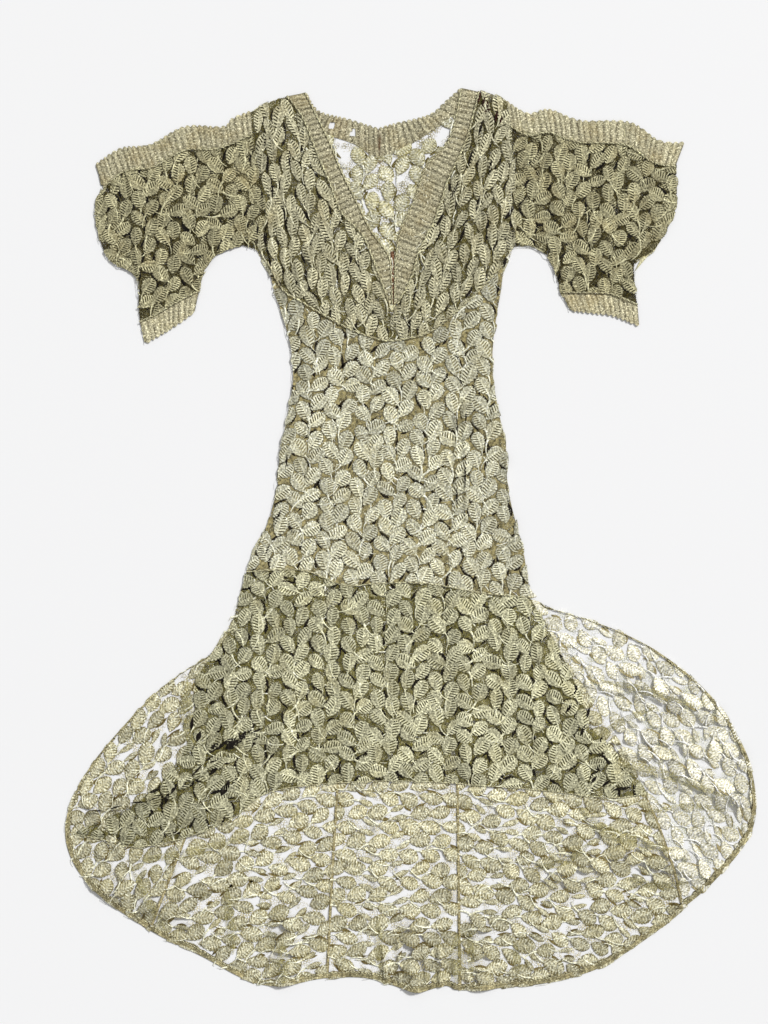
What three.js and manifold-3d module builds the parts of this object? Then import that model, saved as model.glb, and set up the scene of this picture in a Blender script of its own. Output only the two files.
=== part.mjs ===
// A long gown of corded leaf lace, laid flat on its back: deep V neck with ribbed edging,
// short split sleeves, curved under-bust seam, hip seam, pointed front flounce and fan train.
// Millimetres. X runs across the gown, Y up to the neck, Z up from the surface it lies on.
// The back layer rests on the surface and the front layer lies on the back layer.
import * as THREE from "three";
import Module from "manifold-3d";
import { mergeGeometries, mergeVertices } from "three/addons/utils/BufferGeometryUtils.js";

// Driving dimensions
const WALL = 1.5; // one layer of corded lace
const SEAM_GAP = 0.3; // between pieces sewn edge to edge
const LAYER_GAP = 0.3; // between pieces that lie on each other
const FRONT_BASE = WALL + LAYER_GAP; // underside of the front layer
const BACK_HIP_Y = -90; // straight hip seam of the back
const HIP_LEFT_X = -303;
const HIP_RIGHT_X = 215;
const HEM_WIDTH = 12; // turned hem of the train
const HEM_WALL = 1.2;
const RIB_RISE = 0.8; // ribs of the edging over its ground
const BACK_RIB_RISE = 0.5; // the same on the back neck, where the front lies on them
const SCALLOP = 2.5; // how far each rib stands out of the edging's edge
const FULL_BAND = 30; // an edging narrower than this has shallower scallops
const CUTTER_HEIGHT = 60;

// Seams and edges, each a smooth curve through a few points. Columns: x, y.
const LINES = {
  shoulderLeft: [[-286, 770], [-250, 789], [-221, 799]],
  shoulderRight: [[124, 807], [150, 802], [173, 789]],
  neckEdgeLeft: [[-189, 805], [-149, 724], [-121, 658], [-94, 604], [-70, 556], [-39, 512], [-34, 470],
    [-32, 425]],
  neckEdgeRight: [[92, 812], [72, 724], [29, 672], [9, 615], [-16, 559], [-25, 512], [-27, 470], [-28, 425]],
  neckSeamLeft: [[-221, 799], [-193, 760], [-169, 701], [-146, 647], [-122, 588], [-86, 550], [-65, 501],
    [-37, 425]],
  neckSeamRight: [[124, 807], [101, 721], [70, 652], [54, 604], [41, 570], [16, 520], [2, 472], [-23, 425]],
  frontSeam: [[-30, 400], [-29, 359]],
  armholeTopLeft: [[-286, 770], [-283, 730]],
  armholeTopRight: [[173, 789], [180, 745]],
  armholeLeft: [[-283, 730], [-279, 701], [-266, 631], [-259, 591], [-268, 554], [-277, 523]],
  armholeRight: [[180, 745], [184, 721], [189, 663], [187, 595], [190, 550], [187, 528]],
  bustSideLeft: [[-277, 523], [-256, 501]],
  bustSideRight: [[187, 528], [167, 496]],
  underBustLeft: [[-256, 501], [-229, 451], [-198, 431], [-149, 402], [-101, 377], [-54, 361], [-29, 359]],
  underBustRight: [[-29, 359], [-5, 363], [34, 374], [72, 402], [117, 442], [167, 496]],
  waistSideLeft: [[-294, -56], [-257, 28], [-238, 100], [-232, 163], [-216, 244], [-210, 298], [-215, 352],
    [-230, 406], [-247, 460], [-256, 501]],
  waistSideRight: [[216, -102], [205, -26], [191, 28], [175, 100], [173, 163], [157, 244], [149, 298],
    [149, 352], [156, 406], [165, 460], [167, 496]],
  frontHip: [[-294, -56], [-194, -53], [-121, -80], [-58, -77], [13, -76], [63, -82], [126, -94],
    [216, -102]],
  flounceSideLeft: [[-604, -527], [-486, -467], [-428, -410], [-392, -345], [-383, -251], [-350, -200],
    [-320, -150], [-294, -56]],
  flounceSideRight: [[428, -454], [370, -380], [326, -335], [305, -275], [270, -200], [237, -140],
    [216, -102]],
  flounceHem: [[-604, -527], [-553, -537], [-506, -550], [-423, -539], [-320, -500], [-257, -454],
    [-139, -436], [18, -433], [216, -447], [360, -462], [428, -454]],
  backNeckLeft: [[-190, 806], [-175, 780], [-157, 767], [-112, 756], [-57, 739]],
  backNeckRight: [[-57, 739], [-27, 748], [20, 759], [45, 770], [65, 788], [94, 814]],
  backNeckSeamLeft: [[-225, 797], [-205, 765], [-175, 742], [-140, 727], [-94, 710], [-54, 678]],
  backNeckSeamRight: [[-54, 678], [-29, 698], [7, 716], [54, 746], [95, 776], [130, 806]],
  backShoulderLeft: [[-286, 770], [-250, 789], [-225, 797]],
  backShoulderRight: [[130, 806], [150, 802], [173, 789]],
  backSideLeft: [[HIP_LEFT_X, BACK_HIP_Y], [-284, -26], [-257, 28], [-238, 100], [-232, 163], [-216, 244],
    [-210, 298], [-215, 352], [-230, 406], [-250, 470], [-277, 523]],
  backSideRight: [[HIP_RIGHT_X, BACK_HIP_Y], [205, -26], [191, 28], [175, 100], [173, 163], [157, 244],
    [149, 298], [149, 352], [156, 406], [166, 470], [187, 528]],
  sleeveTopLeft: [[-565, 674], [-520, 703], [-466, 710], [-405, 742], [-337, 742], [-319, 757], [-286, 770]],
  sleeveTopRight: [[173, 789], [212, 766], [250, 773], [308, 753], [394, 750], [448, 717], [493, 714]],
  sleeveBandSeamLeft: [[-551, 634], [-512, 664], [-462, 671], [-405, 701], [-345, 704], [-283, 730]],
  sleeveBandSeamRight: [[180, 745], [212, 728], [250, 733], [300, 716], [385, 711], [436, 680], [477, 672]],
  sleeveEndLeft: [[-486, 393], [-488, 424], [-491, 474], [-540, 505], [-560, 550], [-565, 600], [-551, 634]],
  sleeveEndRight: [[409, 424], [405, 454], [405, 501], [439, 523], [474, 585], [480, 630], [477, 672]],
  bandEndLeft: [[-551, 634], [-565, 674]],
  bandEndRight: [[477, 672], [493, 714]],
  cuffSeamLeft: [[-486, 393], [-452, 409], [-417, 430], [-380, 448]],
  cuffSeamRight: [[272, 446], [337, 445], [365, 442], [409, 424]],
  cuffEdgeLeft: [[-475, 357], [-443, 375], [-410, 396], [-387, 413]],
  cuffEdgeRight: [[290, 415], [337, 410], [365, 406], [412, 388]],
  cuffEndOuterLeft: [[-475, 357], [-486, 393]],
  cuffEndInnerLeft: [[-387, 413], [-380, 448]],
  cuffEndInnerRight: [[290, 415], [272, 446]],
  cuffEndOuterRight: [[412, 388], [409, 424]],
  underarmLeft: [[-380, 448], [-376, 470], [-360, 503], [-328, 525], [-301, 530], [-277, 523]],
  underarmRight: [[272, 446], [262, 480], [247, 512], [216, 532], [187, 528]],
};

// Rulings of the train, from the straight back hip seam to the hem, left to right.
// bow is how far the ruling's middle stands to the right of a straight line.
// Columns: hip x, hem x, hem y, bow.
const TRAIN = [
  [HIP_LEFT_X, -357, -208, 6],
  [-302, -441, -260, 58],
  [-300, -522, -341, 64],
  [-296, -585, -422, 68],
  [-290, -619, -505, 66],
  [-280, -608, -575, 50],
  [-262, -558, -638, 24],
  [-236, -468, -701, 0],
  [-203, -378, -746, -8],
  [-165, -266, -799, -10],
  [-103, -149, -787, -4],
  [-62, -72, -788, 0],
  [-20, 9, -811, 0],
  [28, 63, -801, 0],
  [81, 90, -809, 0],
  [96, 171, -804, 8],
  [120, 255, -794, 18],
  [142, 351, -764, 30],
  [168, 459, -692, 44],
  [180, 491, -662, 48],
  [192, 549, -611, 30],
  [201, 612, -530, 4],
  [206, 621, -449, -24],
  [209, 594, -359, -42],
  [211, 531, -269, -48],
  [213, 441, -197, -44],
  [214, 342, -150, -30],
  [HIP_RIGHT_X, 240, -121, 0],
];
const TRAIN_ROWS = [0, 0.25, 0.42, 0.52, 0.6, 0.68, 0.76, 0.84, 0.92]; // shares of each ruling, then the hem
const NEAR_HEM = 0.99; // share of a ruling from which its pace at the hem is taken

// Gores of the train. first and last are rows of TRAIN, columns is how many strips the gore has,
// grain is the turn of its leaf rows. Columns: name, first, last, columns, grain in degrees.
const GORES = [
  ["side_gore_left", 0, 7, 9, 50],
  ["back_gore_left", 7, 10, 6, 14],
  ["back_gore_centre", 10, 14, 6, 0],
  ["back_gore_right", 14, 19, 8, -14],
  ["side_gore_right", 19, 27, 9, -50],
];

// Soft folds of each layer, as ridges. Columns: x, y of each end, half width, height.
const BACK_FOLDS = [
  [490, -425, 590, -468, 38, 10],
  [380, -560, 505, -590, 38, 9],
  [250, -620, 340, -590, 34, 6],
  [400, -255, 545, -315, 36, 8],
  [440, -355, 600, -392, 34, 7],
  [-226, -690, -227, -808, 34, 9],
  [2, -700, 8, -816, 30, 9],
  [124, -700, 132, -816, 32, 8],
  [-560, -622, -420, -672, 36, 7],
];
const FRONT_FOLDS = [
  [-318, -350, -440, -456, 26, 11],
  [-425, -450, -585, -487, 24, 9],
  [-275, -150, -330, -330, 30, 7],
  [-205, -120, -235, -420, 32, 5],
  [-110, -130, -120, -410, 34, 6],
  [-10, -120, -20, -400, 32, 4],
  [85, -130, 110, -415, 34, 6],
  [180, -150, 255, -420, 34, 7],
  [262, -250, 372, -435, 28, 6],
  [120, 420, 125, 180, 26, 4],
  [-190, 380, -170, 200, 28, 3],
];

// Gathers that fan out with a piece's own strips. from and to are shares across the piece.
// Columns: count, from, to, height, share of the length they fade over.
const GATHERS = {
  front_bodice_right: [7, 0, 1, 4.5, 0.12],
  front_bodice_left: [4, 0.02, 0.52, 3, 0.14],
  sleeve_front_left: [5, 0.1, 1, 4, 0.16],
  sleeve_front_right: [5, 0, 0.9, 4, 0.16],
};

// Gaps over 4 mm between the leaves of the train: sites of a staggered lattice in each gore.
const SITE_X = 38;
const SITE_Y = 25;
const SITE_CYCLE = 4; // one site in four is a gap, the others hold a leaf
const GAP_LENGTH = 24;
const GAP_WIDTH = 10;
const GAP_TILT = 18; // degrees, turned the other way in every second row
const GAP_MARGIN = 5; // lace left between a gap and the piece's edge
const FLOUNCE_MARGIN = 14; // lace left clear along the flounce that lies on the train

// Larger gaps, the tear in the train and two holes in the neck edging.
// Columns: piece, x, y, length, width, turn in degrees.
const LARGE_GAPS = [
  ["back_body", -142, 706, 29, 9, 105],
  ["back_body", -118, 703, 10, 7, 0],
  ["back_body", -84, 672, 28, 11, 95],
  ["back_body", 62, 730, 20, 10, 60],
  ["back_body", 17, 704, 13, 11, 0],
  ["back_body", 4, 676, 26, 12, 80],
  ["back_body", -22, 650, 26, 12, 15],
  ["back_body", -62, 622, 20, 9, 40],
  ["back_body", -118, 664, 18, 8, 70],
  ["back_gore_right", 101, -678, 14, 7, 20],
  ["back_neck_band_left", -141, 746, 11, 9, 0],
  ["back_neck_band_left", -104, 732, 13, 7, 25],
];

const COLOURS = {
  leaf_lace: 0xaaa689,
  train_lace: 0xccc7af,
  ribbed_edging: 0x9c956f,
  turned_hem: 0xb3ab82,
};

const wasm = await Module();
wasm.setup();

const radians = (degrees) => (degrees * Math.PI) / 180;
const smooth = (t) => THREE.MathUtils.smoothstep(t, 0, 1);

// A named line as count + 1 points at equal steps.
function stations(name, count) {
  const points = LINES[name].map(([x, y]) => new THREE.Vector2(x, y));
  return new THREE.SplineCurve(points).getSpacedPoints(count);
}

const reversed = (points) => [...points].reverse();

// Lines end to end, without the doubled point where they meet.
const joined = (...runs) => runs.flatMap((run, k) => (k ? run.slice(1) : run));

// Each step of a run of points cut into equal shorter steps on the same straight chords.
function divided(points, parts) {
  const steps = points.slice(1).map((end, k) =>
    Array.from({ length: parts }, (_, p) => points[k].clone().lerp(end, (p + 1) / parts)));
  return [points[0].clone(), ...steps.flat()];
}

// Coons grid between four runs of points. Columns run left to right, and rows bottom to top.
function patch({ left, right, bottom, top }) {
  const columns = bottom.length - 1;
  const rows = left.length - 1;
  return bottom.map((b, i) =>
    left.map((l, j) => {
      const u = i / columns;
      const v = j / rows;
      const blend = (axis) =>
        (1 - v) * b[axis] + v * top[i][axis] + (1 - u) * l[axis] + u * right[j][axis] -
        (1 - u) * ((1 - v) * bottom[0][axis] + v * top[0][axis]) -
        u * ((1 - v) * bottom[columns][axis] + v * top[columns][axis]);
      return new THREE.Vector2(blend("x"), blend("y"));
    }));
}

// Moves the points of a grid's sewn sides in by half the seam gap, square to each side.
function sewn(grid, sides) {
  const columns = grid.length - 1;
  const rows = grid[0].length - 1;
  const SIDES = {
    left: { length: rows, at: (k) => [0, k], inner: (k) => [1, k] },
    right: { length: rows, at: (k) => [columns, k], inner: (k) => [columns - 1, k] },
    bottom: { length: columns, at: (k) => [k, 0], inner: (k) => [k, 1] },
    top: { length: columns, at: (k) => [k, rows], inner: (k) => [k, rows - 1] },
  };
  const point = ([i, j]) => grid[i][j];
  const moves = [];
  for (const side of sides) {
    const { length, at, inner } = SIDES[side];
    for (let k = 0; k <= length; k++) {
      const chord = point(at(Math.min(k + 1, length))).clone().sub(point(at(Math.max(k - 1, 0))));
      const normal = new THREE.Vector2(-chord.y, chord.x).normalize();
      const inward = point(inner(k)).clone().sub(point(at(k)));
      if (normal.dot(inward) < 0) normal.negate();
      moves.push([at(k), normal.multiplyScalar(SEAM_GAP / 2)]);
    }
  }
  const shifted = grid.map((column) => column.map((p) => p.clone()));
  for (const [[i, j], move] of moves) shifted[i][j].add(move);
  return shifted;
}

// Height of a layer's ridges at a point: a raised cosine across each one, faded at its ends.
function foldRise(folds, { x, y }) {
  let rise = 0;
  for (const [x0, y0, x1, y1, halfWidth, height] of folds) {
    const length = Math.hypot(x1 - x0, y1 - y0);
    const along = ((x - x0) * (x1 - x0) + (y - y0) * (y1 - y0)) / length;
    const across = Math.abs((x - x0) * (y1 - y0) - (y - y0) * (x1 - x0)) / length;
    const past = Math.max(-along, along - length, 0);
    const distance = Math.hypot(across, past);
    if (distance < halfWidth)
      rise = Math.max(rise, (height / 2) * (1 + Math.cos((Math.PI * distance) / halfWidth)));
  }
  return rise;
}

// Height of a piece's gathers at shares u across and v along it.
function gatherRise(name, u, v) {
  if (!GATHERS[name]) return 0;
  const [count, from, to, height, fade] = GATHERS[name];
  const share = (u - from) / (to - from);
  if (share <= 0 || share >= 1) return 0;
  const wave = (1 - Math.cos(2 * Math.PI * count * share)) / 2;
  return height * wave * smooth(v / fade) * smooth((1 - v) / fade);
}

// A closed wall over a grid: rise lifts both faces, and relief raises the outer face alone.
function wall(grid, { base, thickness = WALL, rise, relief = () => 0 }) {
  const columns = grid.length;
  const rows = grid[0].length;
  const positions = [];
  for (const face of [0, 1])
    grid.forEach((column, i) =>
      column.forEach((p, j) => {
        const z = base + rise(p, i / (columns - 1), j / (rows - 1));
        positions.push(p.x, p.y, face ? z + thickness + relief(i, j) : z);
      }));
  const under = (i, j) => i * rows + j;
  const over = (i, j) => columns * rows + under(i, j);
  const index = [];
  const quad = (a, b, c, d) => index.push(a, b, c, a, c, d);
  for (let i = 0; i < columns - 1; i++)
    for (let j = 0; j < rows - 1; j++) {
      quad(over(i, j), over(i + 1, j), over(i + 1, j + 1), over(i, j + 1));
      quad(under(i, j), under(i, j + 1), under(i + 1, j + 1), under(i + 1, j));
    }
  const rim = (a, b) => quad(under(...a), under(...b), over(...b), over(...a));
  for (let i = 0; i < columns - 1; i++) {
    rim([i, 0], [i + 1, 0]);
    rim([i + 1, rows - 1], [i, rows - 1]);
  }
  for (let j = 0; j < rows - 1; j++) {
    rim([columns - 1, j], [columns - 1, j + 1]);
    rim([0, j + 1], [0, j]);
  }
  if (windingArea(grid) < 0) index.reverse();
  const geometry = new THREE.BufferGeometry();
  geometry.setAttribute("position", new THREE.Float32BufferAttribute(positions, 3));
  geometry.setIndex(index);
  return geometry;
}

// The outline of a grid, as a ring of points.
const outline = (grid) => [
  ...grid.map((column) => column[0]),
  ...grid.at(-1).slice(1),
  ...reversed(grid.map((column) => column.at(-1))).slice(1),
  ...reversed(grid[0]).slice(1, -1),
];

const windingArea = (grid) => THREE.ShapeUtils.area(outline(grid));

// An edging of ribs between its seam and its free edge. The free edge stands out at each rib.
// On the back layer its ribs rise only to the layer's own height, so the front lies flat on them.
function edging(seam, edge, name, layer) {
  const rows = seam.map((p, k) => {
    const out = edge[k].clone().sub(p);
    const ribbed = k % 2 === 1 ? SCALLOP * Math.min(1, out.length() / FULL_BAND) : 0;
    return [p.clone(), edge[k].clone().addScaledVector(out.normalize(), ribbed)];
  });
  const grid = sewn(rows, ["bottom"]);
  const back = layer === "back";
  const base = back ? 0 : FRONT_BASE;
  const thickness = back ? WALL - BACK_RIB_RISE : WALL;
  const relief = (i) => (i % 2 === 1 ? (back ? BACK_RIB_RISE : RIB_RISE) : 0);
  const solid = wall(grid, { base, thickness, rise: () => 0, relief });
  return addPiece(name, cutThrough(solid, largeCutters(name)), "ribbed_edging");
}

// A vertical cutter with a pointed or round outline.
function cutter(x, y, length, width, turn, corners = 6) {
  const angle = radians(turn);
  const ring = Array.from({ length: corners }, (_, k) => {
    const t = (2 * Math.PI * k) / corners;
    return new THREE.Vector2((length / 2) * Math.cos(t), (width / 2) * Math.sin(t))
      .rotateAround(new THREE.Vector2(), angle)
      .add(new THREE.Vector2(x, y));
  });
  const shape = new THREE.ExtrudeGeometry(new THREE.Shape(ring), {
    depth: CUTTER_HEIGHT,
    bevelEnabled: false,
  });
  return { ring, solid: shape.translate(0, 0, -CUTTER_HEIGHT / 2) };
}

function toSolid(geometry) {
  const bare = geometry.clone();
  bare.deleteAttribute("normal");
  bare.deleteAttribute("uv");
  const merged = mergeVertices(bare, 1e-4);
  return new wasm.Manifold(
    new wasm.Mesh({
      numProp: 3,
      vertProperties: new Float32Array(merged.attributes.position.array),
      triVerts: new Uint32Array(merged.index.array),
    }));
}

function fromSolid(solid) {
  const mesh = solid.getMesh();
  const geometry = new THREE.BufferGeometry();
  geometry.setAttribute("position", new THREE.BufferAttribute(mesh.vertProperties, 3));
  geometry.setIndex(new THREE.BufferAttribute(mesh.triVerts, 1));
  return geometry;
}

// Cuts every cutter out of a piece's wall.
function cutThrough(geometry, cutters) {
  if (!cutters.length) return geometry;
  const tools = toSolid(mergeGeometries(cutters.map(({ solid }) => solid)));
  return fromSolid(toSolid(geometry).subtract(tools));
}

const largeCutters = (name) =>
  LARGE_GAPS.filter(([piece]) => piece === name).map(([, ...sizes]) => cutter(...sizes));

// Shortest distance from a point to a ring of points.
function clearance(point, ring) {
  let nearest = Infinity;
  ring.forEach((a, k) => {
    const b = ring[(k + 1) % ring.length];
    const side = b.clone().sub(a);
    const t = THREE.MathUtils.clamp(point.clone().sub(a).dot(side) / side.lengthSq(), 0, 1);
    nearest = Math.min(nearest, point.distanceTo(a.clone().addScaledVector(side, t)));
  });
  return nearest;
}

function inside(point, ring) {
  let odd = false;
  ring.forEach((a, k) => {
    const b = ring[(k + 1) % ring.length];
    if (a.y > point.y !== b.y > point.y)
      if (point.x < a.x + ((point.y - a.y) * (b.x - a.x)) / (b.y - a.y)) odd = !odd;
  });
  return odd;
}

// Gaps between the leaves of one gore, on its staggered lattice.
function latticeCutters(name, grid, grain, flounce) {
  const ring = outline(grid);
  const avoid = LARGE_GAPS.filter(([piece]) => piece === name);
  const middle = grid[Math.floor(grid.length / 2)].at(-1);
  const reach = 30;
  const cutters = [];
  for (let row = -reach; row <= reach; row++)
    for (let column = -reach; column <= reach; column++) {
      const site = new THREE.Vector2(SITE_X * (column + (row & 1) / 2), SITE_Y * row)
        .rotateAround(new THREE.Vector2(), radians(grain))
        .add(middle);
      const cycle = (column + 2 * row + SITE_CYCLE * 3 * reach) % SITE_CYCLE;
      if (cycle !== 0 || !inside(site, ring)) continue;
      if (inside(site, flounce) || clearance(site, flounce) < FLOUNCE_MARGIN + GAP_LENGTH / 2) continue;
      if (avoid.some(([, x, y]) => site.distanceTo(new THREE.Vector2(x, y)) < GAP_LENGTH)) continue;
      const made = cutter(site.x, site.y, GAP_LENGTH, GAP_WIDTH, grain + (row & 1 ? -GAP_TILT : GAP_TILT));
      if (made.ring.every((p) => inside(p, ring) && clearance(p, ring) > HEM_WIDTH + GAP_MARGIN))
        cutters.push(made);
    }
  return cutters;
}

const gown = new THREE.Group();

function addPiece(name, geometry, slot) {
  const material = new THREE.MeshStandardMaterial({
    color: COLOURS[slot],
    roughness: 0.85,
    metalness: 0,
    side: THREE.DoubleSide,
  });
  const mesh = new THREE.Mesh(geometry, material);
  mesh.name = name;
  gown.add(mesh);
  return mesh;
}

// One piece of leaf lace between four runs of points.
function panel(name, sides, { layer, sewnSides, slot = "leaf_lace" }) {
  const grid = sewn(patch(sides), sewnSides);
  const folds = layer === "front" ? FRONT_FOLDS : [];
  const base = layer === "front" ? FRONT_BASE : 0;
  const rise = (p, u, v) => Math.max(foldRise(folds, p), gatherRise(name, u, v));
  addPiece(name, cutThrough(wall(grid, { base, rise }), largeCutters(name)), slot);
  return grid;
}

// Lines that two pieces share, each with one set of points
const SEAMS = {
  neckLeft: stations("neckSeamLeft", 10),
  neckRight: stations("neckSeamRight", 10),
  frontSeam: stations("frontSeam", 1),
  armholeTopLeft: stations("armholeTopLeft", 1),
  armholeTopRight: stations("armholeTopRight", 1),
  armholeLeft: stations("armholeLeft", 6),
  armholeRight: stations("armholeRight", 6),
  underBustLeft: stations("underBustLeft", 7),
  underBustRight: stations("underBustRight", 7),
  frontHip: stations("frontHip", 14),
  backNeckLeft: stations("backNeckSeamLeft", 6),
  backNeckRight: stations("backNeckSeamRight", 6),
  sleeveBandLeft: stations("sleeveBandSeamLeft", 15),
  sleeveBandRight: stations("sleeveBandSeamRight", 15),
  cuffLeft: stations("cuffSeamLeft", 5),
  cuffRight: stations("cuffSeamRight", 5),
  underarmLeft: stations("underarmLeft", 5),
  underarmRight: stations("underarmRight", 5),
};

function makeBackBody() {
  const rows = 7;
  const above = (end) => joined(reversed(SEAMS["armhole" + end]), reversed(SEAMS["armholeTop" + end]));
  const neck = joined(SEAMS.backNeckLeft, SEAMS.backNeckRight);
  const top = joined(stations("backShoulderLeft", 1), neck, stations("backShoulderRight", 1));
  const hip = [new THREE.Vector2(HIP_LEFT_X, BACK_HIP_Y), new THREE.Vector2(HIP_RIGHT_X, BACK_HIP_Y)];
  panel("back_body", {
    left: joined(stations("backSideLeft", rows), above("Left")),
    right: joined(stations("backSideRight", rows), above("Right")),
    bottom: divided(hip, top.length - 1),
    top,
  }, { layer: "back", sewnSides: ["left", "right", "bottom", "top"] });
}

// The edging of the back neck, in two pieces that meet in a mitre.
function makeBackNeckBands() {
  const ribSteps = 6;
  for (const [side, seam, edge, mitreAt] of [
    ["left", SEAMS.backNeckLeft, "backNeckLeft", -1],
    ["right", SEAMS.backNeckRight, "backNeckRight", 0],
  ]) {
    const inner = divided(seam, ribSteps);
    const outer = stations(edge, inner.length - 1);
    const nudge = side === "left" ? -SEAM_GAP : SEAM_GAP;
    inner.at(mitreAt).x += nudge;
    outer.at(mitreAt).x += nudge;
    edging(inner, outer, "back_neck_band_" + side, "back");
  }
}

function makeFrontBodices() {
  const left = divided(SEAMS.underBustLeft, 2);
  const armLeft = joined(SEAMS.armholeTopLeft, SEAMS.armholeLeft, stations("bustSideLeft", 5));
  panel("front_bodice_left", {
    left: reversed(armLeft),
    right: reversed([...SEAMS.neckLeft, ...SEAMS.frontSeam]),
    bottom: left,
    top: stations("shoulderLeft", left.length - 1),
  }, { layer: "front", sewnSides: ["left", "right", "bottom"] });

  const right = divided(SEAMS.underBustRight, 3);
  const armRight = joined(SEAMS.armholeTopRight, SEAMS.armholeRight, stations("bustSideRight", 5));
  panel("front_bodice_right", {
    left: reversed([...SEAMS.neckRight, ...SEAMS.frontSeam]),
    right: reversed(armRight),
    bottom: right,
    top: stations("shoulderRight", right.length - 1),
  }, { layer: "front", sewnSides: ["left", "right", "bottom"] });
}

function makeFrontMidriff() {
  const rows = 12;
  panel("front_midriff", {
    left: stations("waistSideLeft", rows),
    right: stations("waistSideRight", rows),
    bottom: SEAMS.frontHip,
    top: joined(SEAMS.underBustLeft, SEAMS.underBustRight),
  }, { layer: "front", sewnSides: ["bottom", "top"] });
}

function makeFrontFlounce() {
  const rows = 11;
  const top = divided(SEAMS.frontHip, 2);
  return panel("front_flounce", {
    left: stations("flounceSideLeft", rows),
    right: stations("flounceSideRight", rows),
    bottom: stations("flounceHem", top.length - 1),
    top,
  }, { layer: "front", sewnSides: ["top"] });
}

// The ribbed edging down each side of the V and the slit under it.
function makeNeckBands() {
  const ribSteps = 9;
  for (const [side, seam, edge] of [
    ["left", SEAMS.neckLeft, "neckEdgeLeft"],
    ["right", SEAMS.neckRight, "neckEdgeRight"],
  ]) {
    const inner = divided(seam, ribSteps);
    const outer = stations(edge, inner.length - 1);
    edging(inner, outer, "neck_band_" + side, "front");
  }
}

// Each sleeve is a front, a back, a ribbed band along its split top and a ribbed cuff.
function makeSleeve(side) {
  const mirror = side === "right";
  const end = mirror ? "Right" : "Left";
  const place = (outer, inner) => (mirror ? { left: inner, right: outer } : { left: outer, right: inner });
  const sewnSides = [mirror ? "left" : "right"];
  const underarm = divided(SEAMS["underarm" + end], 2);
  const below = (...runs) => (mirror ? joined(reversed(underarm), ...runs) : joined(...runs, underarm));
  const armhole = divided(reversed(SEAMS["armhole" + end]), 2);
  const outerEnd = stations("sleeveEnd" + end, armhole.length - 1);
  const band = SEAMS["sleeveBand" + end];
  const cuff = SEAMS["cuff" + end];
  panel("sleeve_front_" + side, {
    ...place(outerEnd, armhole),
    bottom: below(cuff),
    top: band,
  }, { layer: "front", sewnSides: [...sewnSides, "bottom", "top"] });

  const backInner = joined(armhole, divided(reversed(SEAMS["armholeTop" + end]), 2));
  const backOuter = joined(stations("cuffEndOuter" + end, 1), outerEnd, stations("bandEnd" + end, 1));
  const cuffEdge = stations("cuffEdge" + end, 4);
  const innerEnd = stations("cuffEndInner" + end, 1);
  panel("sleeve_back_" + side, {
    ...place(backOuter, backInner),
    bottom: mirror ? below(reversed(innerEnd), cuffEdge) : below(cuffEdge, innerEnd),
    top: stations("sleeveTop" + end, band.length - 1),
  }, { layer: "back", sewnSides });

  const bandSeam = divided(band, 4);
  const bandEdge = stations("sleeveTop" + end, bandSeam.length - 1);
  const armholeEnd = mirror ? 0 : -1;
  for (const run of [bandSeam, bandEdge]) run.at(armholeEnd).x += mirror ? SEAM_GAP : -SEAM_GAP;
  edging(bandSeam, bandEdge, "sleeve_top_band_" + side, "front");

  const cuffSeam = divided(cuff, mirror ? 6 : 4);
  edging(cuffSeam, stations("cuffEdge" + end, cuffSeam.length - 1), "cuff_band_" + side, "front");
}

// A point of the train at a share of the way along TRAIN's rows and a share down the ruling.
function trainPoint(row, share) {
  const column = (k) => new THREE.SplineCurve(TRAIN.map((line, n) => new THREE.Vector2(n, line[k])));
  const t = row / (TRAIN.length - 1);
  const [hipX, hemX, hemY, bow] = [0, 1, 2, 3].map((k) => column(k).getPoint(t).y);
  const arch = 4 * share * (1 - share);
  return new THREE.Vector2(
    THREE.MathUtils.lerp(hipX, hemX, share) + bow * arch,
    THREE.MathUtils.lerp(BACK_HIP_Y, hemY, share));
}

// The gores of the train and the turned hem that runs along all of them.
function makeTrain(flounce) {
  const ring = outline(flounce);
  const rise = (p) => foldRise(BACK_FOLDS, p);
  const hem = [];
  for (const [name, first, last, columns, grain] of GORES) {
    const fan = Array.from({ length: columns + 1 }, (_, i) => {
      const row = THREE.MathUtils.lerp(first, last, i / columns);
      const pace = trainPoint(row, 1).distanceTo(trainPoint(row, NEAR_HEM)) / (1 - NEAR_HEM);
      const hemFrom = 1 - HEM_WIDTH / pace;
      const shares = [...TRAIN_ROWS.map((share) => share * hemFrom), hemFrom, 1];
      return reversed(shares.map((share) => trainPoint(row, share)));
    });
    const sides = ["top"];
    if (name !== GORES[0][0]) sides.push("left");
    if (name !== GORES.at(-1)[0]) sides.push("right");
    const grid = sewn(fan, sides);
    const gaps = [...latticeCutters(name, grid, grain, ring), ...largeCutters(name)];
    addPiece(name, cutThrough(wall(grid, { base: 0, rise }), gaps), "train_lace");
    hem.push(...grid.map((column) => column.slice(0, 2)));
  }
  const hemWall = { base: WALL + LAYER_GAP, thickness: HEM_WALL, rise };
  addPiece("train_hem", wall(hem, hemWall), "turned_hem");
}

makeBackBody();
makeBackNeckBands();
makeFrontBodices();
makeFrontMidriff();
const flounceGrid = makeFrontFlounce();
makeNeckBands();
makeSleeve("left");
makeSleeve("right");
makeTrain(flounceGrid);

export default gown;
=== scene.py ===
import math

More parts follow.
